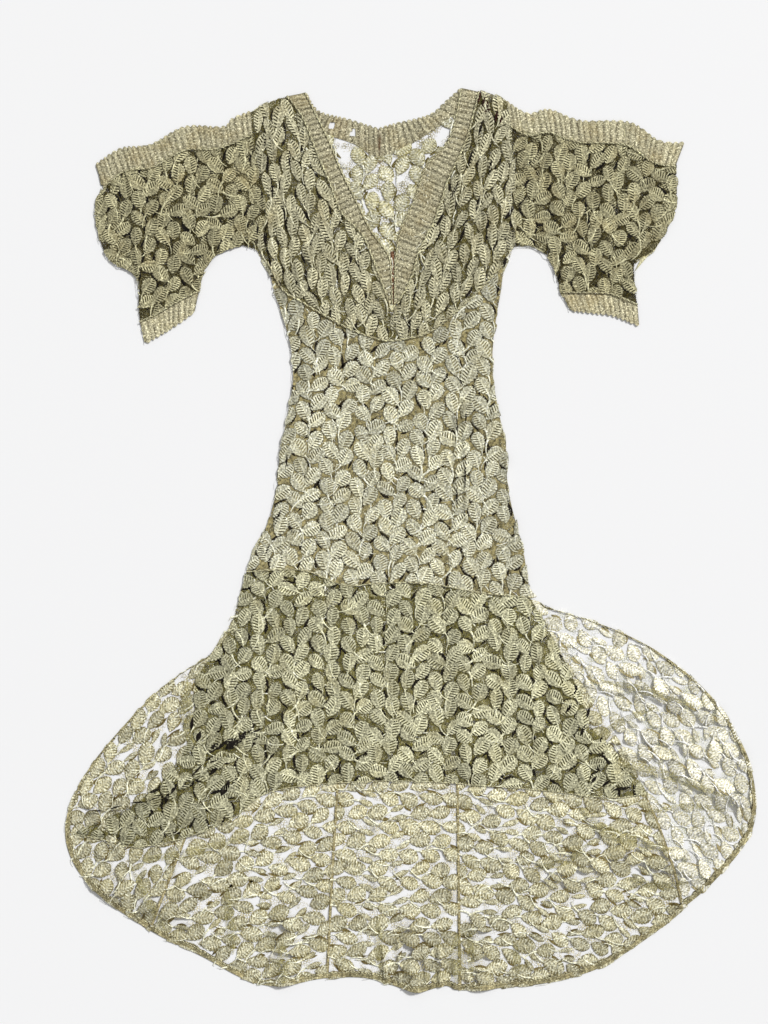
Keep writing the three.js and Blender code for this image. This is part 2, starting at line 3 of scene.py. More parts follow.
import bpy
import numpy as np
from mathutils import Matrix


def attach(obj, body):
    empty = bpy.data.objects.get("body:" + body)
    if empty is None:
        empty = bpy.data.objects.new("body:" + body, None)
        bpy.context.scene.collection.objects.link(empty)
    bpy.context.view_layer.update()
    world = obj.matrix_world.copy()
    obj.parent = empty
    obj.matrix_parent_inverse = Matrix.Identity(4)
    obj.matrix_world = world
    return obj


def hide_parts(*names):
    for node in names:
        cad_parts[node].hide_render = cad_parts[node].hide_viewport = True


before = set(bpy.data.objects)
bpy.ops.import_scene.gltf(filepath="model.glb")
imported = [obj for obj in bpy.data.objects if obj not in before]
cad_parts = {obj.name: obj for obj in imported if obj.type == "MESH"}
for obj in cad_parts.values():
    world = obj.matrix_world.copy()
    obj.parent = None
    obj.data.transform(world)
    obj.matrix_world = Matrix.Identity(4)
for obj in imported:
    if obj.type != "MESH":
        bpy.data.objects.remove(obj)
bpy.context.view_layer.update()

# Back panel
# One length of corded leaf lace from the shoulders to the straight hip seam: net ground, raised
# leaves hatched all over, and cream stems. It lies flat on the surface, and the neck edging, the
# sleeves and the train are sewn to it. A few gaps between its leaves are open.

MM = 0.001  # cutting lines, heights and sizes of cloth below are in millimetres of the frame
GROUND = {"back": 0.4, "front": 2.2}  # height of each layer's net

cut_lines = {
    "back side left": [(-303, -90), (-284, -26), (-257, 28), (-238, 100), (-232, 163), (-216, 244),
        (-210, 298), (-215, 352), (-230, 406), (-250, 470), (-277, 523)],
    "back side right": [(215, -90), (205, -26), (191, 28), (175, 100), (173, 163), (157, 244),
        (149, 298), (149, 352), (156, 406), (166, 470), (187, 528)],
    "armhole left": [(-283, 730), (-279, 701), (-266, 631), (-259, 591), (-268, 554), (-277, 523)],
    "armhole right": [(180, 745), (184, 721), (189, 663), (187, 595), (190, 550), (187, 528)],
    "armhole top left": [(-286, 770), (-283, 730)],
    "armhole top right": [(173, 789), (180, 745)],
    "back shoulder left": [(-286, 770), (-250, 789), (-225, 797)],
    "back shoulder right": [(130, 806), (150, 802), (173, 789)],
    "back neck seam left": [(-225, 797), (-205, 765), (-175, 742), (-140, 727), (-94, 710), (-54, 678)],
    "back neck seam right": [(-54, 678), (-29, 698), (7, 716), (54, 746), (95, 776), (130, 806)],
}
HIP_LEFT, HIP_RIGHT = (-303, -90), (215, -90)

# Soft ridges of each layer, broad folds first and then the finer creases, which are uneven in
# length, depth and spacing. Columns: x, y of each end, half width, height.
ridges = {
    "back": [
        (490, -425, 590, -468, 38, 10),
        (380, -560, 505, -590, 38, 9),
        (250, -620, 340, -590, 34, 6),
        (400, -255, 545, -315, 36, 8),
        (440, -355, 600, -392, 34, 7),
        (-226, -690, -227, -808, 34, 9),
        (2, -700, 8, -816, 30, 9),
        (124, -700, 132, -816, 32, 8),
        (-560, -622, -420, -672, 36, 7),
        (310, -481, 345, -528, 10, 4.5),
        (345, -528, 452, -550, 12, 5.5),
        (234, -582, 304, -557, 11, 5.0),
        (410, -616, 530, -607, 12, 5.5),
        (317, -258, 385, -275, 10, 4.5),
        (385, -275, 511, -307, 12, 5.0),
        (373, -346, 452, -303, 9, 4.0),
        (352, -362, 505, -352, 10, 4.5),
        (356, -378, 520, -402, 11, 5.0),
        (352, -392, 470, -432, 9, 4.0),
        (250, -462, 300, -530, 10, 3.6),
        (150, -470, 182, -600, 13, 3.2),
        (60, -520, 78, -660, 14, 2.6),
        (-60, -500, -66, -640, 13, 2.4),
        (-226, -730, -228, -806, 9, 8.5),
        (-204, -738, -203, -800, 8, 5.0),
        (-250, -745, -256, -792, 8, 4.5),
        (-48, -735, -44, -784, 9, 5.5),
        (-22, -720, -18, -788, 8, 5.0),
        (24, -742, 30, -800, 8, 6.0),
        (52, -736, 55, -800, 9, 6.5),
        (78, -745, 82, -802, 8, 5.0),
        (100, -738, 106, -800, 9, 5.5),
        (-585, -470, -520, -560, 12, 4.0),
        (-560, -560, -470, -660, 11, 3.6),
        (-420, -590, -400, -700, 12, 3.2),
        (-505, -410, -440, -350, 11, 3.4),
    ],
    "front": [
        (-318, -350, -440, -456, 26, 11),
        (-425, -450, -585, -487, 24, 9),
        (-275, -150, -330, -330, 30, 7),
        (-205, -120, -235, -420, 32, 5),
        (-110, -130, -120, -410, 34, 6),
        (-10, -120, -20, -400, 32, 4),
        (85, -130, 110, -415, 34, 6),
        (180, -150, 255, -420, 34, 7),
        (262, -250, 372, -435, 28, 6),
        (120, 420, 125, 180, 26, 4),
        (-190, 380, -170, 200, 28, 3),
        (-302, -358, -378, -420, 9, 12.4),
        (-378, -420, -428, -452, 8, 11.6),
        (-430, -454, -520, -474, 9, 9.8),
        (-520, -474, -585, -486, 8, 8.6),
        (-510, -528, -590, -523, 10, 4.5),
        (-302, -518, -410, -528, 10, 4.2),
        (-290, -170, -352, -300, 9, 5.0),
        (-262, -130, -285, -250, 8, 4.2),
        (-232, -90, -252, -190, 8, 3.4),
        (-160, -100, -176, -260, 10, 3.0),
        (-60, -110, -66, -230, 9, 2.4),
        (40, -110, 50, -260, 10, 2.8),
        (140, -120, 172, -300, 10, 3.6),
        (205, -130, 262, -300, 9, 4.2),
        (225, -300, 318, -430, 10, 3.8),
        (-180, -300, -200, -425, 10, 3.2),
        (-232, 380, -205, 250, 8, 2.0),
        (-228, 180, -262, 20, 9, 2.4),
        (-268, 10, -286, -45, 8, 2.6),
        (150, 330, 150, 190, 8, 2.2),
        (176, 150, 192, 20, 9, 2.2),
        (82, 262, 84, 60, 7, 3.6),
        (97, 250, 101, 40, 7, 4.2),
        (66, 240, 70, 90, 7, 2.6),
        (-80, 330, -60, 220, 12, 1.4),
        (40, 330, 30, 200, 12, 1.3),
    ],
}


def through(marks, at):
    """Points of a smooth curve through marks, at places counted in marks from the first.

    Between two marks the curve leaves and arrives along half the chord of each mark's neighbours.
    """
    ends = np.vstack([marks[:1], marks, marks[-1:]])
    k = np.minimum(at.astype(int), len(marks) - 2)
    t = (at - k)[..., None]
    start, stop = ends[k + 1], ends[k + 2]
    leave, arrive = (stop - ends[k]) / 2, (ends[k + 3] - start) / 2
    cubic = 2 * start - 2 * stop + leave + arrive
    square = 3 * stop - 3 * start - 2 * leave - arrive
    return ((cubic * t + square) * t + leave) * t + start


def evenly(run, steps):
    """A run of points cut into equal steps along its length."""
    lengths = np.linalg.norm(np.diff(run, axis=0), axis=1)
    distance = np.concatenate([[0], np.cumsum(lengths)])
    at = np.linspace(0, distance[-1], steps + 1)
    return np.stack([np.interp(at, distance, column) for column in run.T], axis=1)


def length_of(run):
    """The length of a run of points, as the sum of its steps."""
    return np.linalg.norm(np.diff(run, axis=0), axis=1).sum()


def cut(name, steps):
    """Points at equal steps along a cutting line."""
    marks = np.array(cut_lines[name], float)
    return evenly(through(marks, np.linspace(0, len(marks) - 1, 60 * len(marks))), steps)


def joined(*runs):
    """Runs of points end to end, without the doubled point where they meet."""
    return np.vstack([runs[0], *[run[1:] for run in runs[1:]]])


def spread(left, right, bottom, top):
    """Columns of points between four edges.

    Each point is the blend of left and right, plus the blend of bottom and top, less the blend of
    the four corners.
    """
    u = np.linspace(0, 1, len(bottom))[:, None, None]
    v = np.linspace(0, 1, len(left))[None, :, None]
    across = (1 - u) * left + u * right
    upward = (1 - v) * bottom[:, None] + v * top[:, None]
    low = (1 - u) * bottom[0] + u * bottom[-1]
    high = (1 - u) * top[0] + u * top[-1]
    return across + upward - (1 - v) * low - v * high


def rise(points, layer):
    """Height of a layer's ridges at each point.

    A ridge is a raised cosine of the distance from its line, and the highest ridge counts.
    """
    x0, y0, x1, y1, half, height = np.array(ridges[layer], float).T
    x, y = points[..., 0, None], points[..., 1, None]
    length = np.hypot(x1 - x0, y1 - y0)
    along = ((x - x0) * (x1 - x0) + (y - y0) * (y1 - y0)) / length
    across = ((x - x0) * (y1 - y0) - (y - y0) * (x1 - x0)) / length
    past = np.maximum(np.maximum(-along, along - length), 0)
    share = np.minimum(np.hypot(across, past) / half, 1)
    return (height / 2 * (1 + np.cos(np.pi * share))).max(axis=-1)


def raised(spots, height):
    """Points in space, from places on the surface and a height for each."""
    return np.concatenate([spots, height[..., None]], axis=-1).reshape(-1, 3)


def border(net):
    """The outline of a net of points, as a ring."""
    return np.vstack([net[:, 0], net[-1, 1:], net[::-1, -1][1:], net[0, ::-1][1:-1]])


def inside(points, ring):
    """Whether each point lies inside a ring: a line from it crosses the ring an odd number of times."""
    a, b = ring, np.roll(ring, -1, axis=0)
    x, y = points[:, 0, None], points[:, 1, None]
    spans = (a[:, 1] > y) != (b[:, 1] > y)
    step = np.where(a[:, 1] == b[:, 1], 1, b[:, 1] - a[:, 1])
    crossing = a[:, 0] + (y - a[:, 1]) * (b[:, 0] - a[:, 0]) / step
    return (spans & (x < crossing)).sum(axis=1) % 2 == 1


def nearest(points, ring):
    """The nearest place on a ring to each point, and its distance.

    On each side of the ring that is the foot of the point, kept between the side's two ends.
    """
    a, b = ring, np.roll(ring, -1, axis=0)
    side = b - a
    t = ((points[:, None] - a) * side).sum(axis=2) / np.maximum((side**2).sum(axis=1), 1e-9)
    place = a + np.clip(t, 0, 1)[..., None] * side
    gap = np.linalg.norm(points[:, None] - place, axis=2)
    best = gap.argmin(axis=1)
    rows = np.arange(len(points))
    return place[rows, best], gap[rows, best]


def trimmed(points, ring):
    """Points with those outside a ring moved to the nearest place on it, as cloth cut at a seam."""
    flat = points.reshape(-1, 2).copy()
    outside = ~inside(flat, ring)
    if outside.any():
        flat[outside] = nearest(flat[outside], ring)[0]
    return flat.reshape(points.shape)


def grid_faces(columns, rows):
    """Four-cornered faces of a net of points that is stored column by column."""
    corner = np.arange(columns * rows).reshape(columns, rows)
    faces = np.stack([corner[:-1, :-1], corner[1:, :-1], corner[1:, 1:], corner[:-1, 1:]], axis=-1)
    return faces.reshape(-1, 4)


def piece(name, points, faces, materials, use=None, smooth=True, **values):
    """A mesh piece from points in millimetres, faces, materials and one value a point for each name."""
    mesh = bpy.data.meshes.new(name)
    mesh.vertices.add(len(points))
    mesh.vertices.foreach_set("co", (points * MM).ravel())
    mesh.loops.add(faces.size)
    mesh.loops.foreach_set("vertex_index", faces.ravel())
    mesh.polygons.add(len(faces))
    mesh.polygons.foreach_set("loop_start", np.arange(0, faces.size, 4))
    mesh.polygons.foreach_set("use_smooth", np.full(len(faces), smooth))
    for material in materials:
        mesh.materials.append(material)
    if use is not None:
        mesh.polygons.foreach_set("material_index", use)
    for label, value in values.items():
        mesh.attributes.new(label, "FLOAT", "POINT").data.foreach_set("value", value.ravel())
    mesh.update(calc_edges=True)
    made = bpy.data.objects.new(name, mesh)
    bpy.context.scene.collection.objects.link(made)
    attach(made, "root")
    return made


def linear(*shades):
    """A colour from red, green and blue out of 255, as light."""
    c = np.array(shades) / 255
    light = np.where(c < 0.04045, c / 12.92, ((c + 0.055) / 1.055) ** 2.4)
    return (*light.tolist(), 1)


def add(tree, kind, **settings):
    """A new shader node of one kind, with its settings."""
    made = tree.nodes.new("ShaderNode" + kind)
    for label, value in settings.items():
        setattr(made, label, value)
    return made


def effect(name, inputs, outputs):
    """A shared shader effect with named inputs and outputs, and its two end nodes."""
    tree = bpy.data.node_groups.new(name, "ShaderNodeTree")
    for label, kind, value in inputs:
        made = tree.interface.new_socket(label, in_out="INPUT", socket_type="NodeSocket" + kind)
        if value is not None:
            made.default_value = value
    for label, kind in outputs:
        tree.interface.new_socket(label, in_out="OUTPUT", socket_type="NodeSocket" + kind)
    return tree, tree.nodes.new("NodeGroupInput"), tree.nodes.new("NodeGroupOutput")


def net_effect():
    """Threads of a net of uneven cells: on where a place is near the border of its cell."""
    tree, given, result = effect(
        "net threads",
        [("Place", "Vector", None), ("Cell", "Float", 0.0026), ("Thread", "Float", 0.1)],
        [("Mask", "Float")],
    )
    count = add(tree, "Math", operation="DIVIDE")
    count.inputs[0].default_value = 1
    cells = add(tree, "VectorMath", operation="SCALE")
    border_distance = add(tree, "TexVoronoi", feature="DISTANCE_TO_EDGE", voronoi_dimensions="2D")
    border_distance.inputs["Scale"].default_value = 1
    on = add(tree, "Math", operation="LESS_THAN")
    link = tree.links.new
    link(given.outputs["Cell"], count.inputs[1])
    link(given.outputs["Place"], cells.inputs[0])
    link(count.outputs[0], cells.inputs["Scale"])
    link(cells.outputs[0], border_distance.inputs["Vector"])
    link(border_distance.outputs["Distance"], on.inputs[0])
    link(given.outputs["Thread"], on.inputs[1])
    link(on.outputs[0], result.inputs["Mask"])
    return tree


def mottle_effect():
    """Soft uneven patches of a given size, from a low to a high value."""
    tree, given, result = effect(
        "mottle",
        [
            ("Place", "Vector", None),
            ("Size", "Float", 0.02),
            ("Low", "Float", 0.8),
            ("High", "Float", 1.15),
        ],
        [("Value", "Float")],
    )
    count = add(tree, "Math", operation="DIVIDE")
    count.inputs[0].default_value = 1
    noise = add(tree, "TexNoise")
    noise.inputs["Detail"].default_value = 3
    span = add(tree, "MapRange")
    span.inputs["From Min"].default_value = 0.3
    span.inputs["From Max"].default_value = 0.7
    link = tree.links.new
    link(given.outputs["Size"], count.inputs[1])
    link(given.outputs["Place"], noise.inputs["Vector"])
    link(count.outputs[0], noise.inputs["Scale"])
    link(noise.outputs["Fac"], span.inputs["Value"])
    link(given.outputs["Low"], span.inputs["To Min"])
    link(given.outputs["High"], span.inputs["To Max"])
    link(span.outputs["Result"], result.inputs["Value"])
    return tree


net_threads = net_effect()
mottle = mottle_effect()


def cloth_shader(name):
    """A new matt cloth material, with its tree, shader and the piece's own coordinates."""
    material = bpy.data.materials.new(name)
    material.use_nodes = True
    tree = material.node_tree
    shader = tree.nodes["Principled BSDF"]
    shader.inputs["Roughness"].default_value = 0.85
    shader.inputs["Specular IOR Level"].default_value = 0.2
    return material, tree, shader, add(tree, "TexCoord").outputs["Object"]


def patches(tree, place, size, low, high):
    """The mottle effect at a size in metres."""
    made = add(tree, "Group", node_tree=mottle)
    tree.links.new(place, made.inputs["Place"])
    for label, value in (("Size", size), ("Low", low), ("High", high)):
        made.inputs[label].default_value = value
    return made.outputs["Value"]


def mixed(tree, factor, first, second):
    """The blend of two colours, each a colour or the output of a node."""
    made = add(tree, "Mix", data_type="RGBA", clamp_factor=True)
    tree.links.new(factor, made.inputs["Factor"])
    for socket, colour in ((made.inputs[6], first), (made.inputs[7], second)):
        if isinstance(colour, tuple):
            socket.default_value = colour
        else:
            tree.links.new(colour, socket)
    return made.outputs[2]


def scaled(tree, colour, factor):
    """A colour times a value."""
    made = add(tree, "VectorMath", operation="SCALE")
    tree.links.new(colour, made.inputs[0])
    tree.links.new(factor, made.inputs["Scale"])
    return made.outputs[0]


def grain(tree, shader, place, size, strength):
    """Fine bumps of twisted thread on a shader."""
    noise = add(tree, "TexNoise")
    noise.inputs["Scale"].default_value = 1 / size
    noise.inputs["Detail"].default_value = 2
    bump = add(tree, "Bump")
    bump.inputs["Strength"].default_value = strength
    bump.inputs["Distance"].default_value = size / 2
    tree.links.new(place, noise.inputs["Vector"])
    tree.links.new(noise.outputs["Fac"], bump.inputs["Height"])
    tree.links.new(bump.outputs["Normal"], shader.inputs["Normal"])


SPECK, TINTED, FADED = 0.0024, 0.045, 0.0034  # sizes in metres of specks and patches on thread
TWIST = 0.0012  # size in metres of the twist of the thread
BROWN_STAIN = (92, 58, 30)


def thread_material(name, light, dark, tint):
    """Corded thread, blended from dark to light by its thread value, with tinted and faded patches: its own
    colours, plus painted shade in the hollows and painted light on the ribs.
    """
    material, tree, shader, place = cloth_shader(name)
    thread = add(tree, "Attribute", attribute_name="thread").outputs["Fac"]
    tone = add(tree, "Attribute", attribute_name="tone").outputs["Fac"]
    # The thread value gives the thread's own light and dark strands and stitches, and also paints light on
    # raised ribs and shade in hollows and at edges.
    thread_colour_and_rib_shade = mixed(tree, thread, linear(*dark), linear(*light))
    specks = patches(tree, place, SPECK, -2.2, 1.5)
    specked = mixed(tree, specks, thread_colour_and_rib_shade, linear(*(min(255, shade + 34) for shade in light)))
    tinted = mixed(tree, patches(tree, place, TINTED, -0.35, 0.4), specked, linear(*tint))
    stain = add(tree, "Attribute", attribute_name="stain").outputs["Fac"]
    stained = mixed(tree, stain, tinted, linear(*BROWN_STAIN))
    faded = scaled(tree, stained, patches(tree, place, FADED, 0.4, 1.5))
    tree.links.new(scaled(tree, faded, tone), shader.inputs["Base Color"])
    grain(tree, shader, place, TWIST, 0.5)
    return material


BARE, FLECK = 0.022, 0.0045  # sizes in metres of the bare patches and the flecks of a net


def net_material(name, colour, thread, cell, uneven=0.0):
    """Fine net: opaque on its threads, which are lighter and darker in patches, and open in its cells.

    An uneven net has thick threads in some places and none in others.
    """
    material, tree, shader, place = cloth_shader(name)
    threads = add(tree, "Group", node_tree=net_threads)
    thin, thick = thread * (1 - 2.4 * uneven), thread * (1 + 1.6 * uneven)
    tree.links.new(patches(tree, place, BARE, thin, thick), threads.inputs["Thread"])
    threads.inputs["Cell"].default_value = cell
    tree.links.new(place, threads.inputs["Place"])
    pale = tuple(min(255, 1.55 * shade) for shade in colour)
    deep = tuple(0.45 * shade for shade in colour)
    shades = mixed(tree, patches(tree, place, FLECK, 0, 1), linear(*deep), linear(*pale))
    tree.links.new(shades, shader.inputs["Base Color"])
    tree.links.new(threads.outputs["Mask"], shader.inputs["Alpha"])
    return material


def lace(name, light, dark, tint, ground, net, cell, gap, shape):
    """The four materials of one lace, for leaf threads, stems, net and the dark slits of painted shade, and
    its leaf.
    """
    stem = tuple(min(255, shade + 30) for shade in light)
    return {
        "leaf": thread_material(name + "_leaf", light, dark, tint),
        "stem": thread_material(name + "_stem", stem, light, light),
        "net": net_material(name + "_net", ground, net, cell, float(shape is hatched)),
        # The gap colour is flat and dark: it paints the shade in the slits beside the leaves and along deep
        # folds.
        "gap": thread_material(name + "_gap", gap, gap, gap),
        "shape": shape,
    }


LEAF_BELLY = 0.9  # power of the share of the length, which moves the widest place towards the stalk
LEAF_SLANT, LEAF_SCALLOP = 0.13, 0.12  # how far ribs lean to the tip, and stand out of the edge


def leaf_shape(plump, across, height, crest_height, thread, crest_thread, opened=None):
    """One leaf of unit length and width, as places, heights, thread values and faces.

    Eight ribs slant towards the tip. Each list holds one value for each row across the leaf, from
    one edge over the middle rib to the other: its place, and its height and thread value between
    the ribs and what a rib adds. Every second face of the opened row is left out, which leaves
    bars. The half width rises and falls as half a turn of sine, to a power below one that makes the
    leaf plump with nearly pointed ends, and each rib stands out of the edge.
    """
    ribs = 8
    share = np.linspace(0.015, 0.985, 2 * ribs + 1)[:, None]
    crest = 1 - np.arange(2 * ribs + 1)[:, None] % 2
    across = np.array(across)
    scallop = 1 + LEAF_SCALLOP * crest * (np.abs(across) > 0.7)
    half = 0.5 * np.sin(np.pi * share**LEAF_BELLY) ** plump * scallop
    x = share - 0.5 + LEAF_SLANT * np.sin(np.pi * share) * np.abs(across)
    faces = grid_faces(2 * ribs + 1, len(across)).reshape(2 * ribs, -1, 4)[:, :, ::-1]
    kept = np.ones(faces.shape[:2], bool)
    if opened is not None:
        kept[1::2, opened] = False
    tall = np.array(height) + crest * np.array(crest_height)
    light = np.array(thread) + crest * np.array(crest_thread)
    return np.stack([x, half * across], axis=-1).reshape(-1, 2), tall.ravel(), light.ravel(), faces[kept]


STEM_BEND, STEM_HALF = 0.45, 0.07  # how far a stem bends aside, and its half width at the stalk
STEM_LOSS = 0.4  # share of its width that a stem loses on its way


def stem_shape():
    """A stem of unit length that curls back from a leaf's stalk, as a low ridge three points wide.

    It bends aside with the square of its length, and narrows along it.
    """
    t = np.linspace(0, 1, 7)[:, None]
    side = np.array([-1, 0, 1])
    x = -t + 0 * side
    y = STEM_BEND * t**2 + STEM_HALF * side * (1 - STEM_LOSS * t)
    height = np.tile([0.15, 1.25, 0.15], (7, 1))
    # The stem's middle is lighter than its sides: painted light on the ridge.
    thread = np.tile([0.2, 1.0, 0.2], (7, 1))
    faces = grid_faces(7, 3)
    return np.stack([x, y], axis=-1).reshape(-1, 2), height.ravel(), thread.ravel(), faces


def shadow_and_wear_slit_shape():
    """A narrow flat slit of unit length and width, as a piece: painted shade beside a leaf or in a deep
    fold, and a mark of real wear at the shoulder.

    Its width rises and falls as half a turn of sine, and its ends are a little blunt.
    """
    share = np.linspace(0, 1, 6)
    half = 0.5 * np.sin(np.pi * np.clip(share, 0.04, 0.96))
    flat = np.stack([np.stack([share - 0.5, side * half], axis=1) for side in (-1, 1)], axis=1)
    return flat.reshape(-1, 2), np.zeros(12), np.zeros(12), grid_faces(6, 2)


def lattice(step, turn, origin, reach=34):
    """Staggered rows of sites: every second row moves on half a step, then all turn round origin."""
    row, column = np.meshgrid(np.arange(-reach, reach + 1), np.arange(-reach, reach + 1), indexing="ij")
    row, column = row.ravel(), column.ravel()
    x, y = step[0] * (column + (row % 2) / 2), step[1] * row
    c, s = math.cos(math.radians(turn)), math.sin(math.radians(turn))
    return np.stack([c * x - s * y, s * x + c * y], axis=1) + origin, row, column


def placed(shape, keep, sites, angle, length, width, mirror, base, tone, ring, layer):
    """Copies of a shape at the kept sites: turned, sized, mirrored, trimmed to a ring, on a layer."""
    flat, height, thread, faces = shape
    sites, angle, length, width, mirror, base, tone = (
        row[keep] for row in (sites, angle, length, width, mirror, base, tone)
    )
    x = flat[None, :, 0] * length[:, None]
    y = flat[None, :, 1] * width[:, None] * mirror[:, None]
    c, s = np.cos(angle)[:, None], np.sin(angle)[:, None]
    spots = sites[:, None] + np.stack([c * x - s * y, s * x + c * y], axis=-1)
    spots = trimmed(spots, ring)
    points = raised(spots, base[:, None] + rise(spots, layer) + height)
    turned = np.where(mirror[:, None, None] < 0, faces[:, ::-1], faces)
    order = (turned + (np.arange(len(sites)) * len(flat))[:, None, None]).reshape(-1, 4)
    return points, order, np.tile(thread, len(sites)), np.repeat(tone, len(flat))


# The leaf of two layers has one open half, and the leaf of a single layer is hatched all over.
# The thread values are highest on the ribs and below zero at the leaf's edges: partly the thread's own light
# colour against its hollows, partly painted light on the ribs and painted shade round each leaf.
leaf = leaf_shape(
    plump=0.72,
    across=(1, 0.8, 0.42, 0, -0.76, -1),
    height=(0.1, 1.1, 0.8, 1.4, 1.3, 0.2),
    crest_height=(0, 0.4, 0.8, 0, 0, 0),
    thread=(-0.2, 0.62, 0.4, 0.95, 1, -0.1),
    crest_thread=(0, 0.2, 0.2, 0, 0, 0.3),
    opened=3,
)
hatched = leaf_shape(
    plump=0.82,
    across=(1, 0.5, 0, -0.5, -1),
    height=(0.1, 0.5, 0.9, 0.5, 0.1),
    crest_height=(0, 0.4, 0, 0.4, 0),
    thread=(-0.05, 0.05, 0.55, 0.05, -0.05),
    crest_thread=(0.25, 0.95, 0.1, 0.95, 0.25),
)
stem = stem_shape()
shadow_and_wear_slit = shadow_and_wear_slit_shape()

# Shares by chance of a leaf's length, width and tone, its stem's length and the length of its slit of
# painted shade, then the slit's width.
LENGTHS, WIDTHS, TONES = (0.88, 1.1), (0.84, 1.12), (0.78, 1.16)
STEM_LENGTHS, SHADOW_LENGTHS, SHADOW_WIDTHS = (0.6, 1.4), (0.4, 0.8), (4, 8)
STEMMED = 0.8  # share of the leaves that have a stem
STALK = 0.46  # share of a leaf's length from its middle to its stalk
STEM_LENGTH, STEM_LIFT = 20, 1.0  # mean length of a stem, and its height over its leaf's base
LEAF_LIFT, SHADOW_LIFT = 0.2, 0.12  # least heights of a leaf and of a slit of painted shade over the net
EDGE_CLEAR = 5  # least distance of a slit of painted shade from the panel's edge


def leaves(name, materials, ring, layer, sites, angle, size, seed, wander, stray, shadow_share, shade=None):
    """The leaves, stems and narrow slits of painted shade of one panel, as one piece.

    Each leaf is turned and sized a little by chance, and lies open side left or right by chance.
    Its tone is a chance value times the panel's shade at its place.
    """
    chance = np.random.default_rng(seed)
    count = len(sites)
    angle = angle + np.radians(chance.normal(0, wander, count))
    sites = sites + chance.normal(0, stray, (count, 2))
    length = size[0] * chance.uniform(*LENGTHS, count)
    width = size[1] * chance.uniform(*WIDTHS, count)
    mirror = np.where(chance.random(count) < 0.5, -1, 1)
    tone = chance.uniform(*TONES, count) * (shade(sites) if shade else 1)
    base = GROUND[layer] + LEAF_LIFT + chance.uniform(0, 0.5, count)
    ahead = np.stack([np.cos(angle), np.sin(angle)], axis=1)
    square = np.stack([-ahead[:, 1], ahead[:, 0]], axis=1)
    stalks = sites - ahead * length[:, None] * STALK
    long = STEM_LENGTH * chance.uniform(*STEM_LENGTHS, count)
    stemmed = chance.random(count) < STEMMED
    side = np.where(chance.random(count) < 0.5, -1, 1)
    beside = square * (side * (width / 2 + 0.4))[:, None]
    shadow_at = sites + beside + ahead * chance.normal(0, 4, (count, 1))
    shadow_turn = angle + chance.normal(0, 0.15, count)
    shadow_long = length * chance.uniform(*SHADOW_LENGTHS, count)
    shadow_wide = chance.uniform(*SHADOW_WIDTHS, count)
    # Dark slits beside the leaves, in the lace's gap colour: painted shade of the cloth below.
    shadowed = (chance.random(count) < shadow_share) & (nearest(shadow_at, ring)[1] > EDGE_CLEAR)
    one, low = np.ones(count), np.full(count, GROUND[layer] + SHADOW_LIFT)
    every = slice(None)
    parts = [
        placed(materials["shape"], every, sites, angle, length, width, mirror, base, tone, ring, layer),
        placed(stem, stemmed, stalks, angle, long, long, -mirror, base + STEM_LIFT, one, ring, layer),
        placed(shadow_and_wear_slit, shadowed, shadow_at, shadow_turn, shadow_long, shadow_wide, one, low, tone, ring, layer),
    ]
    starts = np.cumsum([0] + [len(part[0]) for part in parts])
    faces = np.vstack([part[1] + start for part, start in zip(parts, starts)])
    use = np.repeat([0, 1, 2], [len(part[1]) for part in parts])
    points, thread, tones = (np.concatenate([part[k] for part in parts]) for k in (0, 2, 3))
    return piece(name, points, faces, [materials[kind] for kind in ("leaf", "stem", "gap")], use,
                 smooth=False, thread=thread, tone=tones)


FRAY = (-1, 3.6)  # how far the lace's own edge lies in and out of its cutting line


def frayed(net, seed):
    """The outline of a net, moved out and in by chance as the lace's own uneven edge."""
    ring = border(net)[::2]
    ahead = np.roll(ring, -1, axis=0) - np.roll(ring, 1, axis=0)
    out = np.stack([ahead[:, 1], -ahead[:, 0]], axis=1) / np.linalg.norm(ahead, axis=1)[:, None]
    return ring + out * np.random.default_rng(seed).uniform(*FRAY, len(ring))[:, None]


def open_gaps(spots, faces, gaps, corners):
    """Opens gaps in a net of places, and tells which of its faces stay.

    A gap is an ellipse: x, y, length, width, turn. A face with that many corners in it goes, and
    the corners in it move straight out from its middle to its edge.
    """
    dropped = np.zeros(len(faces), bool)
    for x, y, length, width, turn in gaps:
        c, s = math.cos(math.radians(turn)), math.sin(math.radians(turn))
        away = spots - (x, y)
        axes = np.array([[2 * c / length, -2 * s / width], [2 * s / length, 2 * c / width]])
        share = np.linalg.norm(away @ axes, axis=1)
        within = share < 1
        dropped |= within[faces].sum(axis=1) >= corners
        spots[within] = (x, y) + away[within] / np.maximum(share[within], 0.05)[:, None]
    return ~dropped


def ground(name, material, net, layer, gaps=()):
    """The net of one panel on its layer's ridges, with gaps open in it."""
    spots = net.reshape(-1, 2).copy()
    faces = grid_faces(*net.shape[:2])
    kept = open_gaps(spots, faces, gaps, 4)
    return piece(name, raised(spots, GROUND[layer] + rise(spots, layer)), faces[kept], [material])


def stand_for(node, slot, *pieces):
    """Hides the solid that pieces take the place of. The slot is not used."""
    for made in pieces:
        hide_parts(node)


SITE_OUT = 4  # how far a leaf's middle may lie outside its panel, where the seam trims it


def clear_sites(sites, ring, gaps, keep=13):
    """Which sites lie in a ring or just outside it, and farther than keep from every gap."""
    near = inside(sites, ring) | (nearest(sites, ring)[1] < SITE_OUT)
    for x, y, *_ in gaps:
        near &= np.hypot(*(sites - (x, y)).T) > keep
    return near


